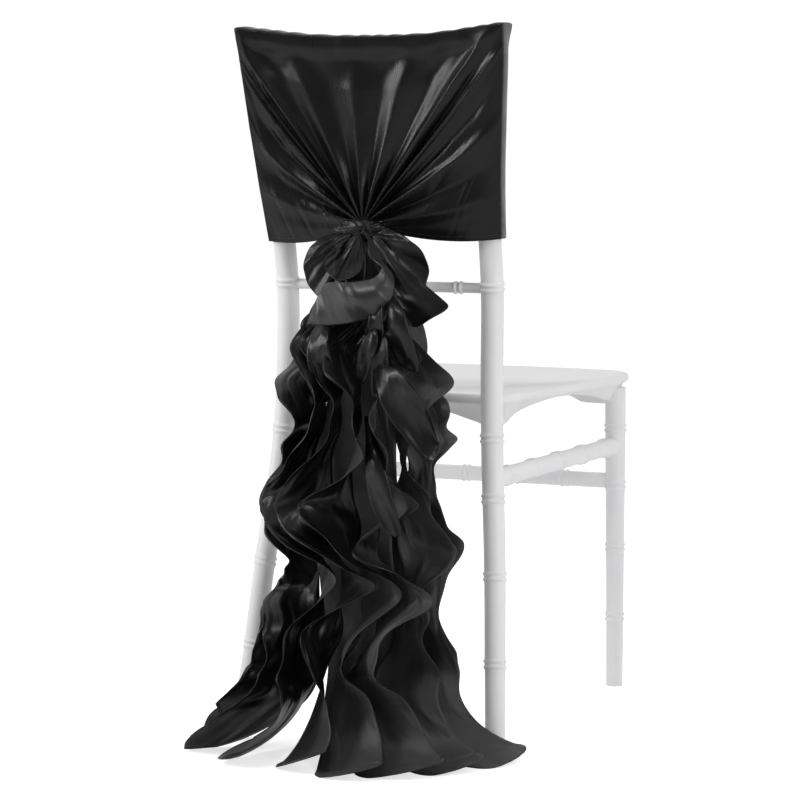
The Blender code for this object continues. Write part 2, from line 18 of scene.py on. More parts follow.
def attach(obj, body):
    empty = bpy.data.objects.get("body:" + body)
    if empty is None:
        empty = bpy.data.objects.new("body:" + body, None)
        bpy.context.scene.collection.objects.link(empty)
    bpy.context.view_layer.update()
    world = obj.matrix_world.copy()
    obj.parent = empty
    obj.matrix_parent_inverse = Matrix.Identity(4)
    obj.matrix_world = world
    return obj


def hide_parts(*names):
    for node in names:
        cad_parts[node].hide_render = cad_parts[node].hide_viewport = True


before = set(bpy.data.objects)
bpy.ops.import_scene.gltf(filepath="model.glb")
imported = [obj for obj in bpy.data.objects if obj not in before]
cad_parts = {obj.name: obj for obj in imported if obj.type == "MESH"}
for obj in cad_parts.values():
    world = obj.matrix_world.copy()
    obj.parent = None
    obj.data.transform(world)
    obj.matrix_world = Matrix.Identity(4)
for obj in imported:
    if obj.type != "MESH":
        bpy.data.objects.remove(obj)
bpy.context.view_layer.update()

CHAIR = np.array([-0.0160, -0.1290, 0.0])

# %% [markdown]
# ## Camera
# The picture is taken from behind the chair and to its right, a little above
# the top of the back, with a long lens, so upright lines stay nearly parallel.
# Three directions give the turn of the camera exactly, which is easier to repeat
# than a track-to constraint.

# %% The camera
TURN = math.radians(23.2)
TILT = math.radians(5.75)
LENS = 121.95
CAMERA_AT = (1.409, -3.178, 0.7935)

right = Vector((math.cos(TURN), math.sin(TURN), 0.0))
ahead = Vector((-math.sin(TURN) * math.cos(TILT), math.cos(TURN) * math.cos(TILT), -math.sin(TILT)))
above = right.cross(ahead)
camera_data = bpy.data.cameras.new("camera")
camera_data.sensor_width = 36.0
camera_data.lens = LENS
camera = bpy.data.objects.new("camera", camera_data)
facing = Matrix((right, above, -ahead)).transposed().to_4x4()
camera.matrix_world = Matrix.Translation(Vector(CAMERA_AT) + Vector(CHAIR)) @ facing
bpy.context.scene.collection.objects.link(camera)
bpy.context.scene.camera = camera
print("camera at", [round(c, 3) for c in camera.location])

# %% [markdown]
# ## Light
# A studio sweep is brighter behind the chair than in front of it. That keeps the
# background white while the white chair still shows its shading. The world is
# given two brightnesses for that, one for each side, with a soft step between
# them. Black satin shows its folds only by what it mirrors, so the room that it
# mirrors is dim, and only the view past the chair is white: the world tells the
# two apart by the kind of ray that asks. Three long soft lamps stand round the
# chair, one to the left, one to the right and one overhead, and each draws a
# streak along the folds that turn towards it.

# %% The world
world = bpy.data.worlds.new("studio")
bpy.context.scene.world = world
world.use_nodes = True
tree = world.node_tree
tree.nodes.clear()
direction = tree.nodes.new("ShaderNodeTexCoord")
parts = tree.nodes.new("ShaderNodeSeparateXYZ")
step = tree.nodes.new("ShaderNodeMapRange")
step.interpolation_type = "SMOOTHSTEP"
step.inputs["From Min"].default_value = -0.35
step.inputs["From Max"].default_value = 0.55
step.inputs["To Min"].default_value = 0.25
step.inputs["To Max"].default_value = 0.80
room = tree.nodes.new("ShaderNodeBackground")
sweep = tree.nodes.new("ShaderNodeBackground")
sweep.inputs["Strength"].default_value = 1.04
ray = tree.nodes.new("ShaderNodeLightPath")
chosen = tree.nodes.new("ShaderNodeMixShader")
output = tree.nodes.new("ShaderNodeOutputWorld")
for shade in (room, sweep):
    shade.inputs["Color"].default_value = (1.0, 1.0, 1.0, 1.0)
tree.links.new(direction.outputs["Generated"], parts.inputs["Vector"])
tree.links.new(parts.outputs["Y"], step.inputs["Value"])
tree.links.new(step.outputs["Result"], room.inputs["Strength"])
tree.links.new(ray.outputs["Is Camera Ray"], chosen.inputs[0])
tree.links.new(room.outputs["Background"], chosen.inputs[1])
tree.links.new(sweep.outputs["Background"], chosen.inputs[2])
tree.links.new(chosen.outputs["Shader"], output.inputs["Surface"])


# %% The lamps
def lamp(name, at, aim, size, power):
    data = bpy.data.lights.new(name, "AREA")
    data.shape = "RECTANGLE"
    data.size, data.size_y = size
    data.energy = power
    made = bpy.data.objects.new(name, data)
    made.location = at
    made.rotation_mode = "QUATERNION"
    made.rotation_quaternion = (Vector(aim) - Vector(at)).to_track_quat("-Z", "Y")
    bpy.context.scene.collection.objects.link(made)


lamp("lamp_left", (-2.10, -1.35, 1.50), (0.0, -0.15, 0.50), (0.35, 1.6), 30.0)
lamp("lamp_right", (2.30, -0.90, 1.30), (0.0, -0.10, 0.50), (0.35, 1.6), 16.0)
lamp("lamp_above", (0.10, -1.10, 2.70), (0.0, -0.10, 0.50), (1.2, 0.3), 16.0)
bpy.context.scene.view_settings.view_transform = "Standard"

# %% [markdown]
# ## Helpers
# Every cloth here is a grid of points: rows down the cloth and columns across
# it. One function turns a grid into a mesh and gives it a UV map in metres, so
# that threads run along the cloth wherever it goes.

# %% Numbers that ease and lines that curve
def smooth(low, high, x):
    t = np.clip((x - low) / (high - low), 0.0, 1.0)
    return t * t * (3 - 2 * t)


def curved(points, count):
    """Points at even distances along a soft line through a few points."""
    points = np.array(points, float)
    spans = np.linalg.norm(np.diff(points, axis=0), axis=1)[:, None]
    slopes = np.diff(points, axis=0) / spans
    inner = (slopes[:-1] * spans[1:] + slopes[1:] * spans[:-1]) / (spans[:-1] + spans[1:])
    slopes = np.vstack([slopes[:1], inner, slopes[-1:]])
    fine = []
    t = np.linspace(0.0, 1.0, 24, endpoint=False)[:, None]
    for i, span in enumerate(spans):
        fine.append(
            points[i] * (1 + 2 * t) * (1 - t) ** 2 + slopes[i] * span * t * (1 - t) ** 2
            + points[i + 1] * t ** 2 * (3 - 2 * t) + slopes[i + 1] * span * t ** 2 * (t - 1)
        )
    fine = np.vstack(fine + [points[-1:]])
    along = np.concatenate([[0.0], np.cumsum(np.linalg.norm(np.diff(fine, axis=0), axis=1))])
    where = np.linspace(0.0, along[-1], count)
    return np.stack([np.interp(where, along, fine[:, i]) for i in range(3)], 1)


# %% A cloth from a grid of points
def grid_area(grid):
    """The area of a grid's small squares, in square metres."""
    across = grid[:-1, 1:] - grid[:-1, :-1]
    down = grid[1:, :-1] - grid[:-1, :-1]
    back_across = grid[1:, :-1] - grid[1:, 1:]
    back_down = grid[:-1, 1:] - grid[1:, 1:]
    first = np.linalg.norm(np.cross(across, down), axis=-1)
    second = np.linalg.norm(np.cross(back_across, back_down), axis=-1)
    return float((first + second).sum() / 2)


def grid_mesh(name, grid, flip=False):
    """A mesh through a grid, in the chair's place, with a UV map in metres."""
    rows, columns = grid.shape[:2]
    corner = np.arange(rows * columns).reshape(rows, columns)
    faces = np.stack([corner[:-1, :-1], corner[:-1, 1:], corner[1:, 1:], corner[1:, :-1]], -1)
    faces = faces.reshape(-1, 4)
    if flip:
        faces = faces[:, ::-1]
    mesh = bpy.data.meshes.new(name)
    mesh.from_pydata((grid + CHAIR).reshape(-1, 3).tolist(), [], faces.tolist())
    width = np.linalg.norm(np.diff(grid, axis=1), axis=-1)
    width = np.concatenate([np.zeros((rows, 1)), np.cumsum(width, 1)], 1)
    width = width - width[:, columns // 2:columns // 2 + 1]
    length = np.linalg.norm(np.diff(grid, axis=0), axis=-1).mean(1)
    length = np.repeat(np.concatenate([[0.0], np.cumsum(length)])[:, None], columns, 1)
    flat = np.stack([width, length], -1).reshape(-1, 2)
    layer = mesh.uv_layers.new(name="cloth")
    loops = np.empty(len(mesh.loops), np.int64)
    mesh.loops.foreach_get("vertex_index", loops)
    layer.data.foreach_set("uv", flat[loops].astype(np.float32).ravel())
    shape = bmesh.new()
    shape.from_mesh(mesh)
    bmesh.ops.remove_doubles(shape, verts=shape.verts, dist=1e-6)
    shape.to_mesh(mesh)
    shape.free()
    mesh.shade_smooth()
    return mesh


# %% [markdown]
# ## Materials
# Satin is woven so that most threads float over its face. The face mirrors
# light in soft streaks along those floats, and the reverse is duller and looks
# greyer. Both are the same threads, so one shader group draws them: fine ribs
# across the cloth, and longer, fainter streaks down it. It puts out a height for
# the bump and a mask that varies the roughness.

# %% The thread group
def thread_group():
    group = bpy.data.node_groups.new("satin_threads", "ShaderNodeTree")
    face = group.interface
    face.new_socket("Place", in_out="INPUT", socket_type="NodeSocketVector")
    face.new_socket("Threads", in_out="INPUT", socket_type="NodeSocketFloat")
    face.new_socket("Height", in_out="OUTPUT", socket_type="NodeSocketFloat")
    face.new_socket("Streaks", in_out="OUTPUT", socket_type="NodeSocketFloat")
    face.new_socket("Crumples", in_out="OUTPUT", socket_type="NodeSocketFloat")
    nodes, links = group.nodes, group.links
    source = nodes.new("NodeGroupInput")
    sink = nodes.new("NodeGroupOutput")
    ribs = nodes.new("ShaderNodeTexWave")
    ribs.bands_direction = "X"
    ribs.inputs["Distortion"].default_value = 0.6
    ribs.inputs["Detail"].default_value = 1.0
    stretch = nodes.new("ShaderNodeMapping")
    stretch.inputs["Scale"].default_value = (420.0, 26.0, 1.0)
    slubs = nodes.new("ShaderNodeTexNoise")
    slubs.inputs["Scale"].default_value = 1.0
    slubs.inputs["Detail"].default_value = 3.0
    soft = nodes.new("ShaderNodeMapping")
    soft.inputs["Scale"].default_value = (22.0, 9.0, 1.0)
    handling = nodes.new("ShaderNodeTexNoise")
    handling.inputs["Scale"].default_value = 1.0
    handling.inputs["Detail"].default_value = 4.0
    wide = nodes.new("ShaderNodeMapping")
    wide.inputs["Scale"].default_value = (15.0, 8.0, 1.0)
    crumples = nodes.new("ShaderNodeTexNoise")
    crumples.inputs["Scale"].default_value = 1.0
    crumples.inputs["Detail"].default_value = 1.5
    crumples.inputs["Roughness"].default_value = 0.35
    crumples.inputs["Distortion"].default_value = 1.6
    total = nodes.new("ShaderNodeMath")
    total.operation = "MULTIPLY_ADD"
    total.inputs[1].default_value = 0.35
    mixed = nodes.new("ShaderNodeMath")
    mixed.operation = "MULTIPLY_ADD"
    mixed.inputs[1].default_value = 0.5
    half = nodes.new("ShaderNodeMath")
    half.operation = "MULTIPLY"
    half.inputs[1].default_value = 0.5
    links.new(source.outputs["Place"], ribs.inputs["Vector"])
    links.new(source.outputs["Threads"], ribs.inputs["Scale"])
    links.new(source.outputs["Place"], stretch.inputs["Vector"])
    links.new(stretch.outputs["Vector"], slubs.inputs["Vector"])
    links.new(source.outputs["Place"], soft.inputs["Vector"])
    links.new(soft.outputs["Vector"], handling.inputs["Vector"])
    links.new(ribs.outputs["Fac"], total.inputs[0])
    links.new(slubs.outputs["Fac"], total.inputs[2])
    links.new(total.outputs["Value"], sink.inputs["Height"])
    links.new(slubs.outputs["Fac"], half.inputs[0])
    links.new(handling.outputs["Fac"], mixed.inputs[0])
    links.new(half.outputs["Value"], mixed.inputs[2])
    links.new(mixed.outputs["Value"], sink.inputs["Streaks"])
    links.new(source.outputs["Place"], wide.inputs["Vector"])
    links.new(wide.outputs["Vector"], crumples.inputs["Vector"])
    links.new(crumples.outputs["Fac"], sink.inputs["Crumples"])
    return group


threads = thread_group()
print("thread group:", [s.name for s in threads.interface.items_tree])


# %% The satin, face and reverse
def satin(name, colours, roughness, specular, sheen, bump, crumple):
    """Black satin; colours and roughness are given as from and to over the streaks."""
    made = bpy.data.materials.new(name)
    made.use_nodes = True
    nodes, links = made.node_tree.nodes, made.node_tree.links
    shader = nodes["Principled BSDF"]
    shader.inputs["Specular IOR Level"].default_value = specular
    shader.inputs["Sheen Weight"].default_value = sheen
    shader.inputs["Sheen Roughness"].default_value = 0.45
    place = nodes.new("ShaderNodeUVMap")
    place.uv_map = "cloth"
    weave = nodes.new("ShaderNodeGroup")
    weave.node_tree = threads
    weave.inputs["Threads"].default_value = 900.0
    links.new(place.outputs["UV"], weave.inputs["Place"])
    tone = nodes.new("ShaderNodeMix")
    tone.data_type = "RGBA"
    tone.inputs["A"].default_value = (*colours[0], 1.0)
    tone.inputs["B"].default_value = (*colours[1], 1.0)
    links.new(weave.outputs["Streaks"], tone.inputs["Factor"])
    links.new(tone.outputs["Result"], shader.inputs["Base Color"])
    rough = nodes.new("ShaderNodeMapRange")
    rough.inputs["From Min"].default_value = 0.3
    rough.inputs["From Max"].default_value = 0.7
    rough.inputs["To Min"].default_value = roughness[0]
    rough.inputs["To Max"].default_value = roughness[1]
    links.new(weave.outputs["Streaks"], rough.inputs["Value"])
    links.new(rough.outputs["Result"], shader.inputs["Roughness"])
    dents = nodes.new("ShaderNodeBump")
    dents.inputs["Strength"].default_value = 1.0
    dents.inputs["Distance"].default_value = crumple
    links.new(weave.outputs["Crumples"], dents.inputs["Height"])
    relief = nodes.new("ShaderNodeBump")
    relief.inputs["Strength"].default_value = bump
    relief.inputs["Distance"].default_value = 0.0002
    links.new(dents.outputs["Normal"], relief.inputs["Normal"])
    links.new(weave.outputs["Height"], relief.inputs["Height"])
    links.new(relief.outputs["Normal"], shader.inputs["Normal"])
    return made


cap_face = satin("cap_face", ((0.0035,) * 3, (0.0060,) * 3), (0.24, 0.34), 0.27, 0.0, 0.10, 0.0024)
satin_face = satin("satin_face", ((0.0040,) * 3, (0.0075,) * 3), (0.26, 0.38), 0.32, 0.0, 0.10, 0.012)
satin_back = satin("satin_back", ((0.030,) * 3, (0.046,) * 3), (0.44, 0.56), 0.36, 0.02, 0.16, 0.009)
satin_fold = satin("satin_fold", ((0.012,) * 3, (0.024,) * 3), (0.30, 0.44), 0.55, 0.04, 0.12, 0.012)
thread_black = satin("thread_black", ((0.012,) * 3, (0.020,) * 3), (0.45, 0.55), 0.35, 0.20, 0.2, 0.0)
print("cloth finishes:", [m.name for m in (cap_face, satin_face, satin_back, satin_fold, thread_black)])


# %% The resin
def resin_material():
    """White moulded resin: a faint orange-peel skin and duller, handled patches."""
    made = bpy.data.materials.new("white_resin")
    made.use_nodes = True
    nodes, links = made.node_tree.nodes, made.node_tree.links
    shader = nodes["Principled BSDF"]
    shader.inputs["Specular IOR Level"].default_value = 0.45
    shader.inputs["Subsurface Weight"].default_value = 0.05
    shader.inputs["Subsurface Radius"].default_value = (0.004, 0.004, 0.004)
    place = nodes.new("ShaderNodeTexCoord")
    patches = nodes.new("ShaderNodeTexNoise")
    patches.inputs["Scale"].default_value = 14.0
    patches.inputs["Detail"].default_value = 5.0
    peel = nodes.new("ShaderNodeTexNoise")
    peel.inputs["Scale"].default_value = 420.0
    peel.inputs["Detail"].default_value = 2.0
    links.new(place.outputs["Object"], patches.inputs["Vector"])
    links.new(place.outputs["Object"], peel.inputs["Vector"])
    tone = nodes.new("ShaderNodeMix")
    tone.data_type = "RGBA"
    tone.inputs["A"].default_value = (0.83, 0.83, 0.845, 1.0)
    tone.inputs["B"].default_value = (0.88, 0.88, 0.885, 1.0)
    links.new(patches.outputs["Fac"], tone.inputs["Factor"])
    links.new(tone.outputs["Result"], shader.inputs["Base Color"])
    rough = nodes.new("ShaderNodeMapRange")
    rough.inputs["From Min"].default_value = 0.3
    rough.inputs["From Max"].default_value = 0.7
    rough.inputs["To Min"].default_value = 0.30
    rough.inputs["To Max"].default_value = 0.42
    links.new(patches.outputs["Fac"], rough.inputs["Value"])
    links.new(rough.outputs["Result"], shader.inputs["Roughness"])
    relief = nodes.new("ShaderNodeBump")
    relief.inputs["Strength"].default_value = 0.10
    relief.inputs["Distance"].default_value = 0.0002
    links.new(peel.outputs["Fac"], relief.inputs["Height"])
    links.new(relief.outputs["Normal"], shader.inputs["Normal"])
    return made


resin = resin_material()

# %% [markdown]
# ## Floor
# The floor is one plain pale sheet. It glows a little by itself, as a lit table
# does in a studio, so that it stays white up to the chair's feet.

# %% The floor
FLOOR_SIDE = 14.0
floor_mesh = bpy.data.meshes.new("floor")
half_side = FLOOR_SIDE / 2
floor_corners = [(x * half_side, y * half_side, 0) for x, y in ((-1, -1), (1, -1), (1, 1), (-1, 1))]
floor_mesh.from_pydata(floor_corners, [], [(0, 1, 2, 3)])
floor_paint = bpy.data.materials.new("pale_floor")
floor_paint.use_nodes = True
floor_shader = floor_paint.node_tree.nodes["Principled BSDF"]
floor_shader.inputs["Base Color"].default_value = (0.90, 0.90, 0.90, 1.0)
floor_shader.inputs["Roughness"].default_value = 0.85
floor_shader.inputs["Specular IOR Level"].default_value = 0.2
floor_shader.inputs["Emission Color"].default_value = (1.0, 1.0, 1.0, 1.0)
glow = floor_paint.node_tree.nodes.new("ShaderNodeMapRange")
glow.inputs["To Min"].default_value = 0.10
glow.inputs["To Max"].default_value = 0.66
seen = floor_paint.node_tree.nodes.new("ShaderNodeLightPath")
floor_paint.node_tree.links.new(seen.outputs["Is Camera Ray"], glow.inputs["Value"])
floor_paint.node_tree.links.new(glow.outputs["Result"], floor_shader.inputs["Emission Strength"])
floor_mesh.materials.append(floor_paint)
floor = bpy.data.objects.new("floor", floor_mesh)
bpy.context.scene.collection.objects.link(floor)
print("floor side:", FLOOR_SIDE)

# %% [markdown]
# ## The turned poles
# Posts, legs, rails and stretchers are all the same idea: a bent pole with a
# double bead at each bamboo joint. They could be lathed one by one. A Geometry
# Nodes tree that sweeps a circle along a curve does all of them, because a
# curve's points carry their own radius, and a bead is only a change of radius.

# %% A tree that sweeps a pole
def pole_tree():
    group = bpy.data.node_groups.new("turned_pole", "GeometryNodeTree")
    face = group.interface
    face.new_socket("Geometry", in_out="INPUT", socket_type="NodeSocketGeometry")
    face.new_socket("Sides", in_out="INPUT", socket_type="NodeSocketInt")
    face.new_socket("Finish", in_out="INPUT", socket_type="NodeSocketMaterial")
    face.new_socket("Geometry", in_out="OUTPUT", socket_type="NodeSocketGeometry")
    nodes, links = group.nodes, group.links
    source = nodes.new("NodeGroupInput")
    sink = nodes.new("NodeGroupOutput")
    circle = nodes.new("GeometryNodeCurvePrimitiveCircle")
    circle.inputs["Radius"].default_value = 1.0
    sweep = nodes.new("GeometryNodeCurveToMesh")
    sweep.inputs["Fill Caps"].default_value = True
    thickness = nodes.new("GeometryNodeInputRadius")
    whole = nodes.new("GeometryNodeRealizeInstances")
    finish = nodes.new("GeometryNodeSetMaterial")
    links.new(thickness.outputs["Radius"], sweep.inputs["Scale"])
    links.new(source.outputs["Sides"], circle.inputs["Resolution"])
    links.new(source.outputs["Geometry"], sweep.inputs["Curve"])
    links.new(circle.outputs["Curve"], sweep.inputs["Profile Curve"])
    links.new(sweep.outputs["Mesh"], whole.inputs["Geometry"])
    links.new(whole.outputs["Geometry"], finish.inputs["Geometry"])
    links.new(source.outputs["Finish"], finish.inputs["Material"])
    links.new(finish.outputs["Geometry"], sink.inputs["Geometry"])
    return group


def grown(name, source, group, values):
    """The plain mesh that a tree makes of a source object, as a new object."""
    modifier = source.modifiers.new("tree", "NODES")
    modifier.node_group = group
    for item in group.interface.items_tree:
        if item.in_out == "INPUT" and item.name in values:
            modifier[item.identifier] = values[item.name]
    bpy.context.view_layer.update()
    depsgraph = bpy.context.evaluated_depsgraph_get()
    mesh = bpy.data.meshes.new_from_object(source.evaluated_get(depsgraph))
    mesh.name = name
    bpy.data.objects.remove(source, do_unlink=True)
    made = bpy.data.objects.new(name, mesh)
    bpy.context.scene.collection.objects.link(made)
    return made


def line_object(name, points, radii=None):
    """A curve object through points in the chair's place."""
    curve = bpy.data.curves.new(name, "CURVE")
    curve.dimensions = "3D"
    spline = curve.splines.new("POLY")
    spline.points.add(len(points) - 1)
    for i, point in enumerate(points):
        spline.points[i].co = (*(np.array(point) + CHAIR), 1.0)
        spline.points[i].radius = 1.0 if radii is None else radii[i]
    made = bpy.data.objects.new(name, curve)
    bpy.context.scene.collection.objects.link(made)
    return made


pole_group = pole_tree()
print("pole inputs:", [s.name for s in pole_group.interface.items_tree if s.in_out == "INPUT"])

# %% [markdown]
# A joint of the bamboo is two small rounded rings with a groove between them.
# Points are close together only round the joints, where the radius changes.

# %% The shape of one pole
BEAD = 0.0019
SIDES = 36


def bead_rise(x):
    """The height of a double bead at a distance x from its middle."""
    return np.exp(-((np.abs(x) - 0.0037) / 0.0021) ** 2)


def pole(name, node, knots, radii, rings, rounded=(False, False)):
    """A pole through knots, with a bead at each ring; its ends may be domed."""
    knots = np.array(knots, float)
    steps = np.linalg.norm(np.diff(knots, axis=0), axis=1)
    corners = np.concatenate([[0.0], np.cumsum(steps)])
    length = corners[-1]
    marks = [np.linspace(0.0, length, max(3, int(length / 0.012)))]
    marks += [ring + np.linspace(-0.010, 0.010, 21) for ring in rings]
    ends = np.array([0.0, 0.0004, 0.001, 0.002, 0.0035, 0.006])
    marks += [ends * flag for flag in (rounded[0],)] + [length - ends * flag for flag in (rounded[1],)]
    where = np.unique(np.round(np.clip(np.concatenate(marks), 0.0, length), 5))
    soft = curved(knots, 400)
    along = np.concatenate([[0.0], np.cumsum(np.linalg.norm(np.diff(soft, axis=0), axis=1))])
    stretched = where * along[-1] / length
    points = np.stack([np.interp(stretched, along, soft[:, i]) for i in range(3)], 1)
    wide = np.interp(where, corners, radii)
    for ring in rings:
        wide = wide + BEAD * bead_rise(where - ring)
    for flag, gone in zip(rounded, (where, length - where)):
        if flag:
            wide = wide * np.sqrt(np.clip(1 - np.clip(1 - gone / 0.006, 0, 1) ** 2, 0.02, 1))
    made = grown(name, line_object(name, points, wide), pole_group, {"Sides": SIDES, "Finish": resin})
    shape = bmesh.new()
    shape.from_mesh(made.data)
    bmesh.ops.remove_doubles(shape, verts=shape.verts, dist=1e-6)
    bmesh.ops.recalc_face_normals(shape, faces=shape.faces)
    shape.to_mesh(made.data)
    shape.free()
    made.data.shade_smooth()
    made.data.set_sharp_from_angle(angle=math.radians(50))
    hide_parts(node)
    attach(made, "root")
    return made


# %% Posts and legs
POST = (
    # height, half spacing, depth, radius
    (0.000, 0.1790, 0.0006, 0.0128),
    (0.006, 0.1790, 0.0006, 0.0128),
    (0.108, 0.1722, 0.0170, 0.0135),
    (0.217, 0.1643, 0.0360, 0.0140),
    (0.391, 0.1490, 0.0640, 0.0145),
    (0.480, 0.1460, 0.0700, 0.0148),
    (0.587, 0.1457, 0.0710, 0.0148),
    (0.660, 0.1466, 0.0592, 0.0148),
    (0.909, 0.1650, 0.0180, 0.0146),
    (0.919, 0.1652, 0.0168, 0.0085),
)
POST_RINGS = (0.110, 0.222, 0.322, 0.400, 0.596)
LEG = (
    # height, half spacing, depth, radius
    (0.000, 0.1880, 0.4480, 0.0118),
    (0.006, 0.1880, 0.4480, 0.0118),
    (0.200, 0.1885, 0.4450, 0.0130),
    (0.372, 0.1890, 0.4410, 0.0143),
    (0.4285, 0.1890, 0.4400, 0.0146),
)
LEG_RINGS = (0.100, 0.200, 0.290, 0.371)

for side, word in ((-1, "left"), (1, "right")):
    post = pole(
        "back_post_" + word, "rear_post_" + word,
        [(side * half, y, z) for z, half, y, r in POST], [r for z, half, y, r in POST], POST_RINGS,
    )
    leg = pole(
        "chair_leg_" + word, "front_leg_" + word,
        [(side * half, y, z) for z, half, y, r in LEG], [r for z, half, y, r in LEG], LEG_RINGS,
    )
print("post faces:", len(post.data.polygons), "leg faces:", len(leg.data.polygons))

# %% Rails and stretchers
RAILS = (
    # name, node, first end, second end, radius, joints as shares of the length
    ("rail_low", "back_rail_lower", (-0.1457, 0.0710, 0.587), (0.1457, 0.0710, 0.587), 0.0068, (0.16, 0.84)),
    ("rail_mid", "back_rail_middle", (-0.1548, 0.0410, 0.770), (0.1548, 0.0410, 0.770), 0.0068, ()),
    ("rail_high", "back_rail_top", (-0.1640, 0.0205, 0.8925), (0.1640, 0.0205, 0.8925), 0.0105, ()),
    ("stretcher_front", "front_stretcher", (-0.1890, 0.4430, 0.295), (0.1890, 0.4430, 0.295), 0.0108,
     (0.2, 0.4, 0.6, 0.8)),
    ("stretcher_left", "side_stretcher_left", (-0.1535, 0.0560, 0.342), (-0.1890, 0.4415, 0.346), 0.0120,
     (0.1, 0.3, 0.5, 0.7, 0.9)),
    ("stretcher_right", "side_stretcher_right", (0.1535, 0.0560, 0.342), (0.1890, 0.4415, 0.346), 0.0120,
     (0.1, 0.3, 0.5, 0.7, 0.9)),
)
for name, node, start, end, radius, shares in RAILS:
    rings = [share * math.dist(start, end) for share in shares]
    pole(name, node, [start, end], [radius, radius], rings)
print("rails and stretchers:", len(RAILS))

# %% [markdown]
# ## The seat
# The seat is a thin plate with a rounded lip over a deeper apron, whose lower
# edge is arched between the legs. Its outline is one soft line, so the rings
# that make it are all the same line, drawn in and set at different heights.

# %% The seat
SEAT = (
    # x, y of the right half of the outline, from the back to the front
    (0.000, 0.0735),
    (0.070, 0.0740),
    (0.134, 0.0700),
    (0.155, 0.0860),
    (0.165, 0.1500),
    (0.184, 0.2340),
    (0.197, 0.3400),
    (0.205, 0.4200),
    (0.203, 0.4560),
    (0.186, 0.4760),
    (0.140, 0.4860),
    (0.070, 0.4920),
    (0.000, 0.4930),
)
SEAT_RINGS = (
    # inset from the outline, height above the floor or None for the arched edge
    (0.2000, 0.4352),
    (0.1000, 0.4352),
    (0.0380, 0.4350),
    (0.0340, 0.4320),
    (0.0340, None),
    (0.0325, None),
    (0.0265, None),
    (0.0250, None),
    (0.0080, 0.4340),
    (0.0030, 0.4362),
    (0.0004, 0.4392),
    (0.0000, 0.4415),
    (0.0003, 0.4445),
    (0.0014, 0.4468),
    (0.0034, 0.4484),
    (0.0060, 0.4492),
    (0.0120, 0.4490),
    (0.0300, 0.4470),
    (0.0700, 0.4450),
    (0.1200, 0.4440),
    (0.2000, 0.4436),
)


def seat_mesh():
    half_outline = curved([(x, y, 0.0) for x, y in SEAT], 81)[:, :2]
    other = half_outline[1:-1][::-1] * np.array([-1.0, 1.0])
    outline = np.vstack([half_outline, other])
    middle = np.array([0.0, 0.28])
    away = outline - middle
    reach = np.linalg.norm(away, axis=1)
    count = len(outline)
    points, faces = [], []
    for row, (inset, height) in enumerate(SEAT_RINGS):
        ring = middle + away * (np.maximum(reach - inset, 0.004) / reach)[:, None]
        across = np.minimum(1.0, np.abs(ring[:, 0]) / 0.14)
        along = np.minimum(1.0, np.abs(ring[:, 1] - 0.28) / 0.17)
        side = smooth(0.115, 0.140, np.abs(ring[:, 0]))
        share = across + (along - across) * side
        arch = 0.4290 - 0.0260 * share ** 2
        if height is None:
            arch = arch + (0.0015 if inset in (0.0340, 0.0250) else 0.0)
        level = arch if height is None else np.full(count, height)
        points.append(np.column_stack([ring, level]))
        if row:
            for j in range(count):
                k = (j + 1) % count
                a, b = (row - 1) * count, row * count
                faces.append((a + j, a + k, b + k, b + j))
    faces.append(tuple(reversed(range(count))))
    faces.append(tuple((len(SEAT_RINGS) - 1) * count + j for j in range(count)))
    mesh = bpy.data.meshes.new("seat_moulding")
    mesh.from_pydata((np.vstack(points) + CHAIR).tolist(), [], faces)
    shape = bmesh.new()
    shape.from_mesh(mesh)
    bmesh.ops.recalc_face_normals(shape, faces=shape.faces)
    shape.to_mesh(mesh)
    shape.free()
    mesh.materials.append(resin)
    mesh.shade_smooth()
    mesh.set_sharp_from_angle(angle=math.radians(60))
    return mesh


seat = bpy.data.objects.new("seat_moulding", seat_mesh())
bpy.context.scene.collection.objects.link(seat)
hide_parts("seat")
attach(seat, "root")
print("seat faces:", len(seat.data.polygons))

# %% [markdown]
# ## The cap
# The cap is one flat bag of satin pulled over the top of the back. Its back
# panel is gathered at one point low in the middle, so the cloth makes folds
# that run from there like the ribs of a fan: sharp ones to the top corners,
# where it pulls hardest, and soft ones between. The panel is built as rays from
# the gathering to its edge, each fold is a ridge along one ray, and the same
# grid goes on over the edge and down the front.

# %% The outline of the back panel
GATHER = np.array([-0.0125, 0.0170, 0.6680])
GATHER_RADIUS = 0.0106
CAP_SIDES = (
    # x, y, z of the panel's outer edge: up the left side, over the top, down the right
    (
        (-0.1590, 0.0435, 0.6440),
        (-0.1668, 0.0300, 0.7200),
        (-0.1752, 0.0150, 0.8100),
        (-0.1836, 0.0010, 0.9060),
        (-0.1850, -0.0008, 0.9205),
    ),
    (
        (-0.1850, -0.0008, 0.9205),
        (-0.1560, 0.0020, 0.9170),
        (-0.0880, 0.0060, 0.9095),
        (0.0000, 0.0070, 0.9070),
        (0.0880, 0.0060, 0.9095),
        (0.1560, 0.0020, 0.9175),
        (0.1852, -0.0008, 0.9212),
    ),
    (
        (0.1852, -0.0008, 0.9212),
        (0.1852, 0.0010, 0.9060),
        (0.1784, 0.0150, 0.8100),
        (0.1712, 0.0300, 0.7250),
        (0.1674, 0.0435, 0.6520),
    ),
)
CAP_RAYS = (96, 130, 96)


def cap_edge():
    left, over, right_side = [curved(side, count) for side, count in zip(CAP_SIDES, CAP_RAYS)]
    edge = np.concatenate([left[:-1], over, right_side[1:]])
    along = np.concatenate([[0.0], np.cumsum(np.linalg.norm(np.diff(edge, axis=0), axis=1))])
    return edge, along / along[-1]


edge, share_of_edge = cap_edge()
print("rays:", len(edge), "corners at", share_of_edge[CAP_RAYS[0] - 1].round(3))

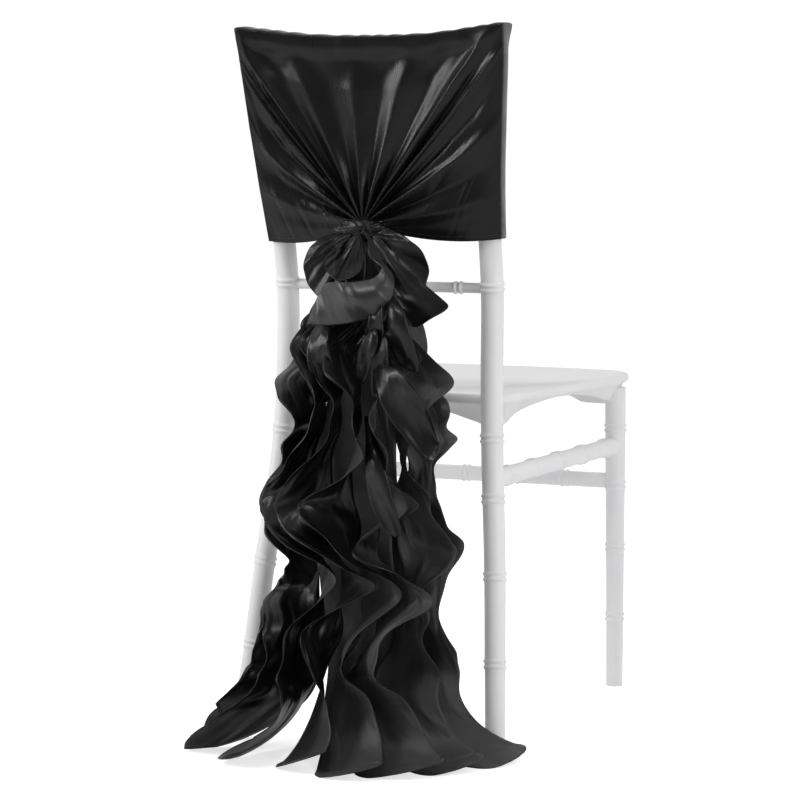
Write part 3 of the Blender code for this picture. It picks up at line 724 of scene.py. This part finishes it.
# %% [markdown]
# A fold is described by where it meets the edge, how wide and how high it is,
# how crisp its ridge is, how far it sags away from a straight line on its way,
# and how near the edge it still stands up.

# %% The folds
CAP_FOLDS = (
    # place on the edge, width, height in mm, crispness, sag, reach
    (0.030, 0.020, 3.5, 0.0, 0.000, 0.90),
    (0.080, 0.016, 8.0, 0.35, -0.012, 1.02),
    (0.122, 0.018, -5.0, 0.0, -0.018, 0.98),
    (0.165, 0.016, 9.5, 0.45, -0.030, 1.02),
    (0.208, 0.014, -5.0, 0.0, -0.032, 0.98),
    (0.246, 0.006, 7.5, 1.0, -0.024, 1.03),
    (0.259, 0.005, 7.5, 1.0, -0.014, 1.03),
    (0.285, 0.016, 9.0, 0.4, 0.000, 1.03),
    (0.330, 0.022, -5.0, 0.0, 0.000, 0.95),
    (0.378, 0.020, 6.0, 0.2, 0.000, 0.96),
    (0.425, 0.020, -4.0, 0.0, 0.000, 0.90),
    (0.480, 0.022, 6.5, 0.15, 0.000, 0.97),
    (0.528, 0.018, -4.0, 0.0, 0.000, 0.90),
    (0.574, 0.022, 6.0, 0.2, 0.000, 0.96),
    (0.630, 0.020, -5.5, 0.0, -0.002, 0.98),
    (0.690, 0.015, 12.0, 0.5, 0.000, 1.03),
    (0.714, 0.008, -4.0, 0.0, 0.004, 1.00),
    (0.734, 0.006, 9.0, 1.0, 0.008, 1.03),
    (0.775, 0.018, -6.0, 0.0, 0.012, 0.98),
    (0.837, 0.017, 9.0, 0.35, 0.014, 1.02),
    (0.885, 0.018, -5.0, 0.0, 0.012, 0.98),
    (0.936, 0.017, 6.0, 0.25, 0.006, 0.98),
    (0.976, 0.014, 2.5, 0.0, 0.000, 0.90),
)


def fold_height(a, rho):
    """How far the folds stand out of the panel, in metres."""
    total = np.zeros(np.broadcast(a, rho).shape)
    for place, wide, high, crisp, sag, reach in CAP_FOLDS:
        x = np.abs(a - place - sag * 4 * rho * (1 - rho)) / wide
        soft_ridge = np.exp(-x ** 2)
        sharp_ridge = np.exp(-1.6 * x) * 0.75 + 0.25 * soft_ridge
        ridge = soft_ridge * (1 - crisp) + sharp_ridge * crisp
        fade = smooth(reach + 0.02, reach - 0.18, rho)
        total = total + high * ridge * fade
    return total / 1000.0


# %% The grid of the cap
def cap_grid(rows, wrap, front):
    """The fan from the gathering out, over the edge, and down the front."""
    edge, a = cap_edge()
    hole = GATHER_RADIUS / np.linalg.norm((edge - GATHER)[:, [0, 2]], axis=1)
    over_top = smooth(0.26, 0.33, a) * smooth(0.74, 0.67, a)
    grid = []
    for share in np.linspace(0.0, 1.0, rows):
        rho = hole + (1.0 - hole) * share ** 1.10
        ring = GATHER + rho[:, None] * (edge - GATHER)
        slack = rho * (1.0 - rho) * 4.0
        near = 0.62 + 0.38 * (1 - rho)
        tight = smooth(0.0, 0.16, rho - hole) * 0.6 + 0.4
        ring[:, 1] -= fold_height(a, rho) * near * tight
        ring[:, 1] += 0.006 * slack * (1.0 - rho)
        # a soft roll where the cloth lies over the top rail
        roll = 1.0 + 0.45 * np.sin(39.0 * a + 0.8) + 0.25 * np.sin(83.0 * a)
        ring[:, 1] -= 0.0034 * over_top * smooth(0.86, 0.95, rho)
        ring[:, 1] += 0.0030 * roll * over_top * smooth(0.72, 0.84, rho) * smooth(0.96, 0.88, rho)
        low = np.maximum(smooth(0.10, 0.0, a), smooth(0.90, 1.0, a))
        ring[:, 2] -= 0.010 * low * slack
        grid.append(ring)
    depth = 0.0385
    for step in range(1, wrap + 1):
        angle = math.pi * step / wrap
        ring = edge.copy()
        ring[:, 1] += depth * (1 - math.cos(angle)) / 2
        top = smooth(0.26, 0.31, a) * smooth(0.74, 0.69, a)
        pucker = 0.0006 * np.sin(a * 210.0 + 2.0 * np.sin(a * 37.0)) * math.sin(angle)
        ring[:, 2] += (0.0030 * math.sin(angle) + pucker) * top
        # the band round the sides turns in behind the panel, past the posts
        ring[:, 0] -= 0.0080 * ((1 - math.cos(angle)) / 2) ** 2 * (1 - top) * np.sign(edge[:, 0])
        grid.append(ring)
    last = grid[-1]
    share = smooth(0.0, 1.0, a)[:, None]
    hem = last[0] + (last[-1] - last[0]) * share
    hem[:, 2] += 0.004 * np.sin(math.pi * a)
    for step in range(1, front + 1):
        v = step / front
        ring = last + (hem - last) * v
        wave = np.sin(9 * a * math.pi + 1.0) * np.sin(math.pi * a)
        wave = wave + 0.4 * np.sin(23 * a * math.pi + 4 * v) * np.sin(math.pi * a)
        ring[:, 1] += 0.0048 * wave * math.sin(math.pi * v * 0.5)
        grid.append(ring)
    return np.array(grid)


CAP_ROWS, CAP_WRAP, CAP_FRONT = 110, 14, 28
cap_points = cap_grid(CAP_ROWS, CAP_WRAP, CAP_FRONT)
print("cap area:", round(grid_area(cap_points), 3), "square metres")


# %% A cloth piece
def cloth(name, grid, nodes, offset=0.0, flip=False, thick=0.0008, sides=(satin_face, satin_back)):
    """A cloth through a grid, with a finish on each side: satin face, dull reverse."""
    mesh = grid_mesh(name, grid, flip)
    for side in sides:
        mesh.materials.append(side)
    made = bpy.data.objects.new(name, mesh)
    bpy.context.scene.collection.objects.link(made)
    wall = made.modifiers.new("thickness", "SOLIDIFY")
    wall.thickness = thick
    wall.offset = offset
    wall.material_offset = 1
    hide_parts(*nodes)
    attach(made, "root")
    return made


cap = cloth(
    "satin_cap", cap_points, ["chair_cap"], offset=-1.0, flip=True, thick=0.0010,
    sides=(satin_back, cap_face),
)
print("panel faces look to y =", round(cap.data.polygons[5000].normal.y, 2))

# %% [markdown]
# The cap is hemmed along its open edge, and a seam joins the back panel to the
# band round its sides and top. Stitches repeat along a path, so a tree lays
# them: it divides the path evenly and puts a short piece of thread at each
# point, turned along the path.

# %% A tree that lays stitches
def stitch_tree():
    group = bpy.data.node_groups.new("thread_stitches", "GeometryNodeTree")
    face = group.interface
    face.new_socket("Geometry", in_out="INPUT", socket_type="NodeSocketGeometry")
    for measure in ("Spacing", "Stitch", "Thread"):
        face.new_socket(measure, in_out="INPUT", socket_type="NodeSocketFloat")
    face.new_socket("Finish", in_out="INPUT", socket_type="NodeSocketMaterial")
    face.new_socket("Geometry", in_out="OUTPUT", socket_type="NodeSocketGeometry")
    nodes, links = group.nodes, group.links
    source = nodes.new("NodeGroupInput")
    sink = nodes.new("NodeGroupOutput")
    divided = nodes.new("GeometryNodeResampleCurve")
    divided.mode = "LENGTH"
    tangent = nodes.new("GeometryNodeInputTangent")
    turned = nodes.new("FunctionNodeAlignRotationToVector")
    turned.axis = "X"
    reach = nodes.new("ShaderNodeCombineXYZ")
    stitch = nodes.new("GeometryNodeCurvePrimitiveLine")
    circle = nodes.new("GeometryNodeCurvePrimitiveCircle")
    circle.inputs["Resolution"].default_value = 6
    sweep = nodes.new("GeometryNodeCurveToMesh")
    sweep.inputs["Fill Caps"].default_value = True
    laid = nodes.new("GeometryNodeInstanceOnPoints")
    whole = nodes.new("GeometryNodeRealizeInstances")
    finish = nodes.new("GeometryNodeSetMaterial")
    links.new(source.outputs["Geometry"], divided.inputs["Curve"])
    links.new(source.outputs["Spacing"], divided.inputs["Length"])
    links.new(tangent.outputs["Tangent"], turned.inputs["Vector"])
    links.new(source.outputs["Stitch"], reach.inputs["X"])
    links.new(reach.outputs["Vector"], stitch.inputs["End"])
    links.new(source.outputs["Thread"], circle.inputs["Radius"])
    links.new(stitch.outputs["Curve"], sweep.inputs["Curve"])
    links.new(circle.outputs["Curve"], sweep.inputs["Profile Curve"])
    links.new(divided.outputs["Curve"], laid.inputs["Points"])
    links.new(sweep.outputs["Mesh"], laid.inputs["Instance"])
    links.new(turned.outputs["Rotation"], laid.inputs["Rotation"])
    links.new(laid.outputs["Instances"], whole.inputs["Geometry"])
    links.new(whole.outputs["Geometry"], finish.inputs["Geometry"])
    links.new(source.outputs["Finish"], finish.inputs["Material"])
    links.new(finish.outputs["Geometry"], sink.inputs["Geometry"])
    return group


stitch_group = stitch_tree()
print("stitch inputs:", [s.name for s in stitch_group.interface.items_tree if s.in_out == "INPUT"])

# %% The paths of hem and seam
HEM = 0.006
# the stitches lie on the cloth, and leave out the rows gathered into the knot
ON_CLOTH = 0.0011
GATHERED_ROWS = 26
HEM_POINTS, SEAM_POINTS = 700, 500
CAP_MIDDLE = np.array([0.0, 0.022, 0.79])


def inside_of(line, distance):
    """The point of a line of points at a distance from its start."""
    along = np.concatenate([[0.0], np.cumsum(np.linalg.norm(np.diff(line, axis=0), axis=1))])
    return np.array([np.interp(distance, along, line[:, i]) for i in range(3)])


def outward(grid):
    """Unit directions that point out of the cap at each point of its grid."""
    down = np.gradient(grid, axis=0)
    over = np.gradient(grid, axis=1)
    out = np.cross(down, over)
    out /= np.maximum(np.linalg.norm(out, axis=2), 1e-9)[..., None]
    sign = np.sign(np.sum(out * (grid - CAP_MIDDLE), axis=2))
    return out * np.where(sign == 0, 1, sign)[..., None]


lifted = cap_points + ON_CLOTH * outward(cap_points)
back_rows = CAP_ROWS + CAP_WRAP
left_way = [inside_of(lifted[i], HEM) for i in range(GATHERED_ROWS, back_rows)]
right_way = [inside_of(lifted[i][::-1], HEM) for i in range(back_rows - 1, GATHERED_ROWS - 1, -1)]
front_way = [inside_of(lifted[CAP_ROWS:, j][::-1], HEM) for j in range(6, lifted.shape[1] - 6, 3)]
hem_path = curved(left_way[::3] + front_way + right_way[::3], HEM_POINTS)
seam_path = curved(lifted[CAP_ROWS + 1, 2:-2:2], SEAM_POINTS)


# %% Hem and seam
def stitches(name, path, spacing, stitch, thread):
    values = {"Spacing": spacing, "Stitch": stitch, "Thread": thread, "Finish": thread_black}
    made = grown(name, line_object(name, path), stitch_group, values)
    made.data.shade_smooth()
    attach(made, "root")
    print(name, "faces:", len(made.data.polygons))


stitches("cap_hem_stitches", hem_path, 0.0034, 0.0024, 0.00022)
stitches("cap_seam_stitches", seam_path, 0.0030, 0.0021, 0.00018)

# %% [markdown]
# ## The knot
# The sash tail is wound once round the gathering and pushed through itself. It
# shows as a small pleated head, wider than it is high. It is lofted from rings
# with a wave round each ring, which the pleats follow.

# %% The knot
KNOT = (
    # y, half width, half height, middle x, middle z, depth of the pleats
    (0.0210, 0.0098, 0.0098, -0.0125, 0.6680, 0.0),
    (0.0070, 0.0098, 0.0098, -0.0125, 0.6680, 0.0),
    (0.0045, 0.0180, 0.0120, -0.0090, 0.6645, 0.4),
    (0.0000, 0.0290, 0.0140, -0.0060, 0.6630, 1.0),
    (-0.0060, 0.0350, 0.0145, -0.0040, 0.6625, 1.0),
    (-0.0120, 0.0310, 0.0140, -0.0030, 0.6625, 1.0),
    (-0.0165, 0.0190, 0.0120, -0.0030, 0.6630, 1.0),
    (-0.0185, 0.0080, 0.0050, -0.0030, 0.6640, 0.5),
)


def knot_grid(rows, sides):
    table = np.array(KNOT)
    place = np.linspace(0, len(KNOT) - 1, rows)
    y, wide, high, x, z, pleats = [np.interp(place, range(len(KNOT)), table[:, i]) for i in range(6)]
    turn = np.linspace(0.0, 2 * math.pi, sides)
    wave = 0.07 * np.sin(7 * turn + 1.2) + 0.05 * np.sin(11 * turn) + 0.03 * np.sin(19 * turn + 2.0)
    twist = np.linspace(0.0, 0.9, rows)[:, None]
    pleat = 1 + pleats[:, None] * np.interp(turn[None] + twist, turn, wave, period=2 * math.pi)
    return np.stack([
        x[:, None] + wide[:, None] * pleat * np.cos(turn),
        np.repeat(y[:, None], sides, 1),
        z[:, None] + high[:, None] * pleat * np.sin(turn),
    ], -1)


knot_points = knot_grid(44, 97)
knot_mesh = grid_mesh("knot_head", knot_points)
shape = bmesh.new()
shape.from_mesh(knot_mesh)
bmesh.ops.holes_fill(shape, edges=shape.edges, sides=0)
bmesh.ops.recalc_face_normals(shape, faces=shape.faces)
shape.to_mesh(knot_mesh)
shape.free()
knot_mesh.shade_smooth()
knot_mesh.materials.append(satin_face)
knot = bpy.data.objects.new("knot_head", knot_mesh)
bpy.context.scene.collection.objects.link(knot)
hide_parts("sash_knot")
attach(knot, "root")
print("knot faces:", len(knot_mesh.polygons))

# %% [markdown]
# ## The ruffles under the knot
# Four short ruffles fan out below the knot like the petals of a flower. Each is
# a fan of rays from its root to a curved free edge, with waves that grow
# towards that edge. The one in front curls round, so its dull reverse shows.

# %% Three open ruffles
RUFFLES = {
    "ruffle_left": ((-0.0120, -0.0188, 0.6570), (
        # x, y, z of the free edge, from the top round to the bottom
        (-0.0290, -0.0200, 0.6600),
        (-0.0470, -0.0220, 0.6560),
        (-0.0640, -0.0300, 0.6410),
        (-0.0700, -0.0380, 0.6180),
        (-0.0630, -0.0450, 0.5940),
        (-0.0430, -0.0480, 0.5780),
        (-0.0240, -0.0470, 0.5820),
        (-0.0080, -0.0440, 0.5970),
    )),
    "ruffle_right": ((0.0140, -0.0166, 0.6560), (
        (0.0360, -0.0200, 0.6660),
        (0.0660, -0.0220, 0.6550),
        (0.0920, -0.0300, 0.6370),
        (0.1010, -0.0370, 0.6150),
        (0.0990, -0.0420, 0.5950),
        (0.1340, -0.0450, 0.5700),
        (0.1130, -0.0540, 0.5550),
        (0.0900, -0.0600, 0.5440),
        (0.0660, -0.0580, 0.5640),
        (0.0420, -0.0520, 0.5900),
    )),
    "ruffle_middle": ((-0.0030, -0.0165, 0.6600), (
        (-0.0220, -0.0460, 0.6470),
        (-0.0280, -0.0600, 0.6300),
        (-0.0240, -0.0700, 0.6110),
        (-0.0060, -0.0740, 0.6010),
        (0.0120, -0.0740, 0.6050),
        (0.0220, -0.0680, 0.6150),
        (0.0230, -0.0570, 0.6280),
        (0.0200, -0.0450, 0.6400),
    )),
}
RUFFLE_FOLDS = {
    # folds over the spread, height in mm, turn, how far the middle hollows in mm
    "ruffle_left": (2.0, 3.0, 0.3, -6.0),
    "ruffle_right": (2.5, 5.0, 1.9, -4.0),
    "ruffle_middle": (3.0, 3.0, 0.8, 4.0),
}


def ruffle_grid(name, rays, rows):
    root, free_edge = RUFFLES[name]
    count, high, turn, hollow = RUFFLE_FOLDS[name]
    root = np.array(root)
    free_edge = curved(free_edge, rays)
    a = np.linspace(0.0, 1.0, rays)
    grid = []
    for share in np.linspace(0.0, 1.0, rows):
        rho = 0.03 + 0.97 * share
        ring = root + rho * (free_edge - root)
        wave = np.sin(2 * math.pi * count * a + turn) * high * rho
        wave = wave + 0.8 * np.sin(2 * math.pi * 3.1 * count * a + 2 * turn) * smooth(0.2, 0.6, rho)
        bowl = hollow * math.sin(math.pi * rho) * np.sin(math.pi * a)
        ring[:, 1] += (wave + bowl) / 1000.0
        grid.append(ring)
    return np.array(grid)


for name in RUFFLES:
    points = ruffle_grid(name, 120, 40)
    made = cloth("petal_" + name.split("_")[1], points, [name], sides=(satin_face, satin_face))
    area = grid_area(points)

# %% The curled ruffle in front
CURL_TOP = (
    (0.0030, -0.0194, 0.6640),
    (0.0220, -0.0460, 0.6520),
    (0.0340, -0.0660, 0.6330),
    (0.0560, -0.0780, 0.6220),
    (0.0540, -0.0980, 0.6080),
    (0.0300, -0.1080, 0.6020),
    (0.0040, -0.1030, 0.6010),
    (-0.0150, -0.0920, 0.5980),
    (-0.0310, -0.0850, 0.5790),
    (-0.0470, -0.0790, 0.5470),
)
CURL_FOOT = (
    (0.0080, -0.0190, 0.6600),
    (0.0320, -0.0440, 0.6440),
    (0.0480, -0.0600, 0.6260),
    (0.0700, -0.0740, 0.6040),
    (0.0740, -0.0900, 0.5800),
    (0.0560, -0.1000, 0.5620),
    (0.0260, -0.0980, 0.5510),
    (-0.0060, -0.0900, 0.5460),
    (-0.0280, -0.0840, 0.5440),
    (-0.0480, -0.0780, 0.5410),
)


def curl_grid(rays, rows):
    top, foot = curved(CURL_TOP, rays), curved(CURL_FOOT, rays)
    bow = np.sin(math.pi * np.linspace(0.0, 1.0, rays))
    grid = []
    for share in np.linspace(0.0, 1.0, rows):
        ring = top + share * (foot - top)
        ring[:, 1] -= 0.010 * bow * math.sin(math.pi * share)
        ring[:, 1] += 0.0030 * bow * np.sin(16.0 * np.linspace(0.0, 1.0, rays) + 3.0 * share)
        grid.append(ring)
    return np.array(grid)


curl_points = curl_grid(140, 26)
curl = cloth("petal_curl", curl_points, ["ruffle_front"], sides=(satin_fold, satin_fold))
print("curl area", round(grid_area(curl_points), 4))

# %% [markdown]
# ## The long strips
# A curled strip is cut as a spiral, so one edge is longer than the other. Hung
# by the short edge, the long edge has to swing from side to side. Eight such
# strips hang round an oval ring. In any level slice, each strip is a line
# that starts at its own place on the ring, and its direction swings on the way
# down. Neighbours are never allowed to turn past each other, so no two strips
# can cross. Near the floor each one bends outwards and runs out on it.

# %% The table of strips
STRIPS = (
    # ring angle, foot angle, reach, width, phase, pitch, swing, drop, lean
    (-112, -68, 0.210, 0.094, 275, 0.212, 60, 0.066, 44),
    (-74, -49, 0.232, 0.088, 261, 0.148, 82, 0.062, 50),
    (-46, -27, 0.216, 0.090, 140, 0.225, 81, 0.086, 60),
    (-14, -3, 0.184, 0.088, 99, 0.203, 81, 0.086, 70),
    (13, 19, 0.205, 0.088, 18, 0.192, 80, 0.062, 76),
    (38, 39, 0.202, 0.106, 133, 0.159, 81, 0.073, 78),
    (75, 59, 0.208, 0.086, 92, 0.185, 60, 0.088, 78),
    (101, 81, 0.224, 0.084, 183, 0.148, 64, 0.088, 78),
)
TOP = 0.6500
BEND = 0.1150
FLOOR = -0.0015
LYING = 0.0006
# how unevenly the waves follow each other, how deep the dents are, and how
# far behind the straight edge the wave of the free edge runs
WANDER = 0.016
CRUMPLE = 0.0032
CURL = 1.0
UPRIGHT = TOP - BEND
DOWN = np.linspace(0.0, UPRIGHT + 0.26, 240)
ACROSS = np.linspace(0.0, 1.0, 21)


def ring_radius(z):
    return 0.014 + 0.020 * smooth(0.65, 0.57, z) + 0.030 * smooth(0.58, 0.34, z)


def ring_middle(z):
    x = -0.004 + 0.011 * smooth(0.64, 0.40, z) + 0.007 * np.sin(z * 14.0)
    y = -0.004 - 0.026 * smooth(0.65, 0.46, z)
    return x, y


# %% Soft dents
def crumpled(points):
    """Soft dents and swells that run through neighbouring strips alike."""
    x, y, z = points[..., 0], points[..., 1], points[..., 2]
    much = CRUMPLE * smooth(0.63, 0.52, z) * smooth(0.015, 0.12, z)
    full = 2 * math.pi
    over = np.sin(full * (y / 0.085 + z / 0.150) + 1.0)
    over = over + 0.6 * np.sin(full * (y / 0.140 - z / 0.067))
    along = np.sin(full * (x / 0.095 - z / 0.130) + 2.0)
    along = along + 0.6 * np.sin(full * (x / 0.150 + z / 0.074))
    return points + np.stack([much * over, much * along, 0 * z], -1)


# %% Keeping neighbours apart
def kept_apart(angles, gap):
    """The nearest angles in which each strip stays a gap past the one before."""
    step = np.arange(len(angles))[:, None, None] * gap
    free = angles - step
    total = np.concatenate([np.zeros((1,) + free.shape[1:]), np.cumsum(free, 0)])
    held = np.empty_like(free)
    for i in range(len(free)):
        best = None
        for first in range(i + 1):
            least = None
            for last in range(i, len(free)):
                mean = (total[last + 1] - total[first]) / (last - first + 1)
                least = mean if least is None else np.minimum(least, mean)
            best = least if best is None else np.maximum(best, least)
        held[i] = best
    return held + step


def eased(angles, length):
    """Angles averaged down the strips over about this length."""
    step = DOWN[1] - DOWN[0]
    reach = int(3 * length / step)
    weights = np.exp(-0.5 * (np.arange(-reach, reach + 1) * step / length) ** 2)
    weights /= weights.sum()
    first = np.repeat(angles[:, :1], reach, 1)
    last = np.repeat(angles[:, -1:], reach, 1)
    padded = np.concatenate([first, angles, last], 1)
    return sum(w * padded[:, i:i + angles.shape[1]] for i, w in enumerate(weights))


# %% The fields that the strips lie in
def strip_fields():
    """A fine grid of points for every strip, and its length, drop and lean."""
    table = np.array(STRIPS, float)
    ring, foot, phase, swing, lean = [np.radians(table[:, i])[:, None] for i in (0, 1, 4, 6, 8)]
    reach, width, pitch, drop = table[:, 2], table[:, 3], table[:, 5][:, None], table[:, 7]
    flare = smooth(UPRIGHT - 0.10, UPRIGHT + 0.07, DOWN)
    around = ring + (foot - ring) * smooth(0.25, UPRIGHT + 0.06, DOWN)
    flat = 0.66 + 0.34 * flare
    facing = np.arctan2(np.sin(around), np.cos(around) / flat)
    facing = around + (facing - around + math.pi) % (2 * math.pi) - math.pi
    # no two waves of a strip are the same length or swing as far
    stray = WANDER * np.sin(2 * math.pi * DOWN / 0.33 + 2.3 * phase)
    angle = phase + 2 * math.pi * (DOWN + stray) / pitch
    vigour = 0.84 + 0.16 * np.sin(2 * math.pi * DOWN / 0.23 + 1.7 * phase)
    grown_swing = swing * vigour * (0.5 + 0.5 * smooth(0.0, 0.12, DOWN))
    wanted = facing[:, :, None] + grown_swing[:, :, None] * np.sin(angle[:, :, None] - CURL * ACROSS)
    turned = eased(kept_apart(wanted, math.radians(1.5)), 0.010)
    most = math.radians(72)
    turned = np.clip(turned - facing[:, :, None], -most, most)
    turned = turned * (1 - flare[:, None]) + lean[:, :, None] * flare[:, None]
    made = []
    for k in range(len(table)):
        start = float(ring_radius(BEND))
        t = np.linspace(0.0, 1.0, 120)[:, None]
        bend = (1 - t) ** 2 * np.array([start, BEND])
        bend = bend + 2 * (1 - t) * t * np.array([start + 0.008, 0.02])
        bend = bend + t ** 2 * np.array([reach[k] - 0.035, FLOOR])
        bend = np.vstack([bend, [[reach[k], FLOOR]]])
        along = np.linalg.norm(np.diff(bend, axis=0), axis=1)
        along = np.concatenate([[0.0], np.cumsum(along)])
        length = UPRIGHT + along[-1]
        s = np.minimum(DOWN, length)
        z = np.where(s < UPRIGHT, TOP - s, np.interp(s - UPRIGHT, along, bend[:, 1]))
        run_out = np.interp(s - UPRIGHT, along, bend[:, 0])
        far = np.where(s < UPRIGHT, ring_radius(np.maximum(z, BEND)), run_out)
        slope = np.arctan2(np.gradient(bend[:, 0]), -np.gradient(bend[:, 1]))
        tilt = np.interp(s - UPRIGHT, along, slope) * smooth(UPRIGHT - 0.02, UPRIGHT + 0.05, s)
        wide = width[k] * (1 + 0.04 * flare)
        back = wide / np.maximum(far, 0.02) / 2 * math.sin(lean[k, 0]) * flare
        at, out = around[k] - back, facing[k] - back
        outward = np.stack([np.sin(out) * np.cos(tilt), -np.cos(out) * np.cos(tilt), np.sin(tilt)], -1)
        sideways = np.stack([np.cos(out), np.sin(out), 0 * out], -1)
        leaf = 0.14 * np.sin(angle[k] + 1.0) - 0.13 * np.cos(2 * angle[k] - 0.8)
        share = 0.74 + leaf * (1 - flare) + 0.26 * flare
        share = np.clip(share, 0.0, 1.0) * (0.22 + 0.78 * smooth(0.03, 0.17, DOWN))
        way = np.cos(turned[k])[:, :, None] * outward[:, None]
        way = way + np.sin(turned[k])[:, :, None] * sideways[:, None]
        step = (wide * share / (len(ACROSS) - 1))[:, None, None]
        swept = np.cumsum(0.5 * (way[:, 1:] + way[:, :-1]) * step, axis=1)
        swept = np.concatenate([np.zeros((len(DOWN), 1, 3)), swept], 1)
        x, y = ring_middle(z)
        hinge = np.stack([x + far * np.sin(at), y - far * np.cos(at) * flat, z], -1)
        made.append((crumpled(hinge[:, None] + swept), length, drop[k], table[k, 8]))
    return made


def strip_grid(field, rows, columns):
    """Points down and across one strip, with a rounded lower end."""
    points, length, drop, lean = field
    s = np.linspace(0.0, length, rows)[:, None]
    # one that stands on edge ends in a long slope, one that lies flat in a blunt round
    flat = smooth(42.0, 76.0, lean)
    tip = 0.120 - 0.090 * flat
    centre = 0.5 * flat
    narrow = np.sqrt(np.clip(1 - np.clip((s - (length - tip)) / tip, 0, 1) ** 2.6, 0.03, 1))
    t = centre + (np.linspace(0.0, 1.0, columns)[None] - centre) * narrow
    s = s + t * drop * (1 - smooth(length - 0.27, length - 0.06, s))
    s = np.minimum(s, length - 1e-6)
    u = s / (DOWN[1] - DOWN[0])
    i = np.clip(u.astype(int), 0, len(DOWN) - 2)
    u = (u - i)[..., None]
    v = t * (len(ACROSS) - 1)
    j = np.clip(v.astype(int), 0, len(ACROSS) - 2)
    v = (v - j)[..., None]
    near = points[i, j] * (1 - u) + points[i + 1, j] * u
    beyond = points[i, j + 1] * (1 - u) + points[i + 1, j + 1] * u
    grid = near * (1 - v) + beyond * v
    # the edge that reaches the floor lies flat on it
    grid[..., 2] = np.maximum(grid[..., 2], LYING)
    return grid


fields = strip_fields()
print("strips:", len(fields), "lengths:", [round(length, 3) for points, length, drop, lean in fields])

# %% Eight curled strips
total_area = 0.0
for number, field in enumerate(fields, 1):
    points = strip_grid(field, 210, 19)
    name = f"streamer_{number:02d}"
    area = grid_area(points)
    total_area += area
    made = cloth(name, points, [f"sash_strip_{number:02d}"])
    width, length = STRIPS[number - 1][3] + 0.01, field[1] + field[2]
print("cloth in the strips:", round(total_area, 3), "square metres")

# %% [markdown]
# Two straighter strips hang inside the ring, and end just above the floor. They
# close the view through the middle of the bundle.

# %% Two inner strips
INNER = (
    # node, depth from the ring's middle, lower end, phase
    ("sash_strip_09", -0.011, 0.020, 0.4),
    ("sash_strip_10", 0.011, 0.034, 2.6),
)


def inner_grid(depth, low, phase, rows, columns):
    z = np.linspace(TOP, low, rows)[:, None]
    t = np.linspace(-1.0, 1.0, columns)[None]
    tip = 0.035
    narrow = np.sqrt(np.clip(1 - np.clip((low + tip - z) / tip, 0, 1) ** 2, 0.03, 1))
    radius = ring_radius(np.maximum(z, BEND))
    x, y = ring_middle(z)
    wave = np.sin(2.6 * t + 2 * math.pi * z / 0.19 + phase)
    flat = depth / 0.011 * radius * 0.19
    return np.stack([x + t * narrow * radius * 0.82, y + flat + 0.10 * radius * wave, z + 0 * t], -1)


for node, depth, low, phase in INNER:
    points = inner_grid(depth, low, phase, 180, 22)
    area = grid_area(points)
    made = cloth("streamer_" + node[-2:], points, [node])
    print(node, "area", round(area, 4))

# %% [markdown]
# Just under the bow the strips are still narrow and curl fastest, so their first
# curls stand out as small separate tongues, and one more hangs lower down. Each
# is a leaf that leaves the bundle, turns down over a shoulder and hangs to an
# end cut at a slant, hollow along its middle. It stands for the strip that it
# grows from.

# %% The first small curls
SMALL_CURLS = (
    # name, number of its strip, width, hollow, then its root, shoulder and tip
    (
        "curl_high", "03", 0.036, 0.005,
        (-0.010, -0.045, 0.575), (-0.0223, -0.100, 0.525), (-0.0027, -0.104, 0.458),
    ),
    (
        "curl_under", "05", 0.034, -0.005,
        (0.036, -0.070, 0.430), (0.0614, -0.120, 0.385), (0.0856, -0.124, 0.290),
    ),
    (
        "curl_upper", "05", 0.022, 0.006,
        (0.030, -0.050, 0.585), (0.0591, -0.104, 0.562), (0.0600, -0.101, 0.514),
    ),
    (
        "curl_left", "04", 0.026, -0.006,
        (0.022, -0.050, 0.560), (0.0522, -0.107, 0.532), (0.0327, -0.103, 0.482),
    ),
    (
        "curl_middle", "05", 0.026, 0.007,
        (0.034, -0.050, 0.550), (0.0671, -0.110, 0.520), (0.0666, -0.106, 0.463),
    ),
    (
        "curl_right", "06", 0.040, -0.009,
        (0.044, -0.045, 0.590), (0.0816, -0.106, 0.558), (0.0960, -0.102, 0.497),
    ),
    (
        "curl_low", "06", 0.052, 0.010,
        (0.044, -0.060, 0.520), (0.0839, -0.124, 0.480), (0.1500, -0.122, 0.404),
    ),
)


def small_curl(root, shoulder, tip, width, hollow, rows=46, columns=13):
    """A leaf along a bent line; it widens from its root and ends in a slanted, rounded tip."""
    line = curved((root, shoulder, tip), rows)
    way = np.gradient(line, axis=0)
    way /= np.linalg.norm(way, axis=1)[:, None]
    across = np.cross(way, (0.0, -1.0, 0.25))
    across /= np.linalg.norm(across, axis=1)[:, None]
    out = np.cross(across, way)
    s = np.linspace(0.0, 1.0, rows)
    round_tip = np.sqrt(np.clip(1 - smooth(0.78, 1.02, s) ** 2, 0.02, 1))
    wide = width * (0.35 + 0.65 * smooth(0.15, 0.65, s)) * round_tip
    t = np.linspace(-0.5, 0.5, columns)
    bowl = 0.7 * hollow * (4 * t[None] ** 2 - 0.4) * smooth(0.1, 0.7, s)[:, None]
    bowl = bowl + 0.12 * width * np.sin(5.0 * s[:, None] + 3.4 * t[None])
    # the end is cut at a slant, so one corner of it hangs lower than the other
    slant = np.sign(hollow) * 1.3 * smooth(0.25, 1.0, s)
    spread = (wide[:, None] * t[None])[..., None] * (across + slant[:, None] * way)[:, None]
    return line[:, None] + spread + bowl[..., None] * out[:, None]


for name, strip, width, hollow, root, shoulder, tip in SMALL_CURLS:
    points = small_curl(root, shoulder, tip, width, hollow)
    made = cloth(name, points, ["sash_strip_" + strip])
    area = grid_area(points)
    print(name, "area", round(area, 5))
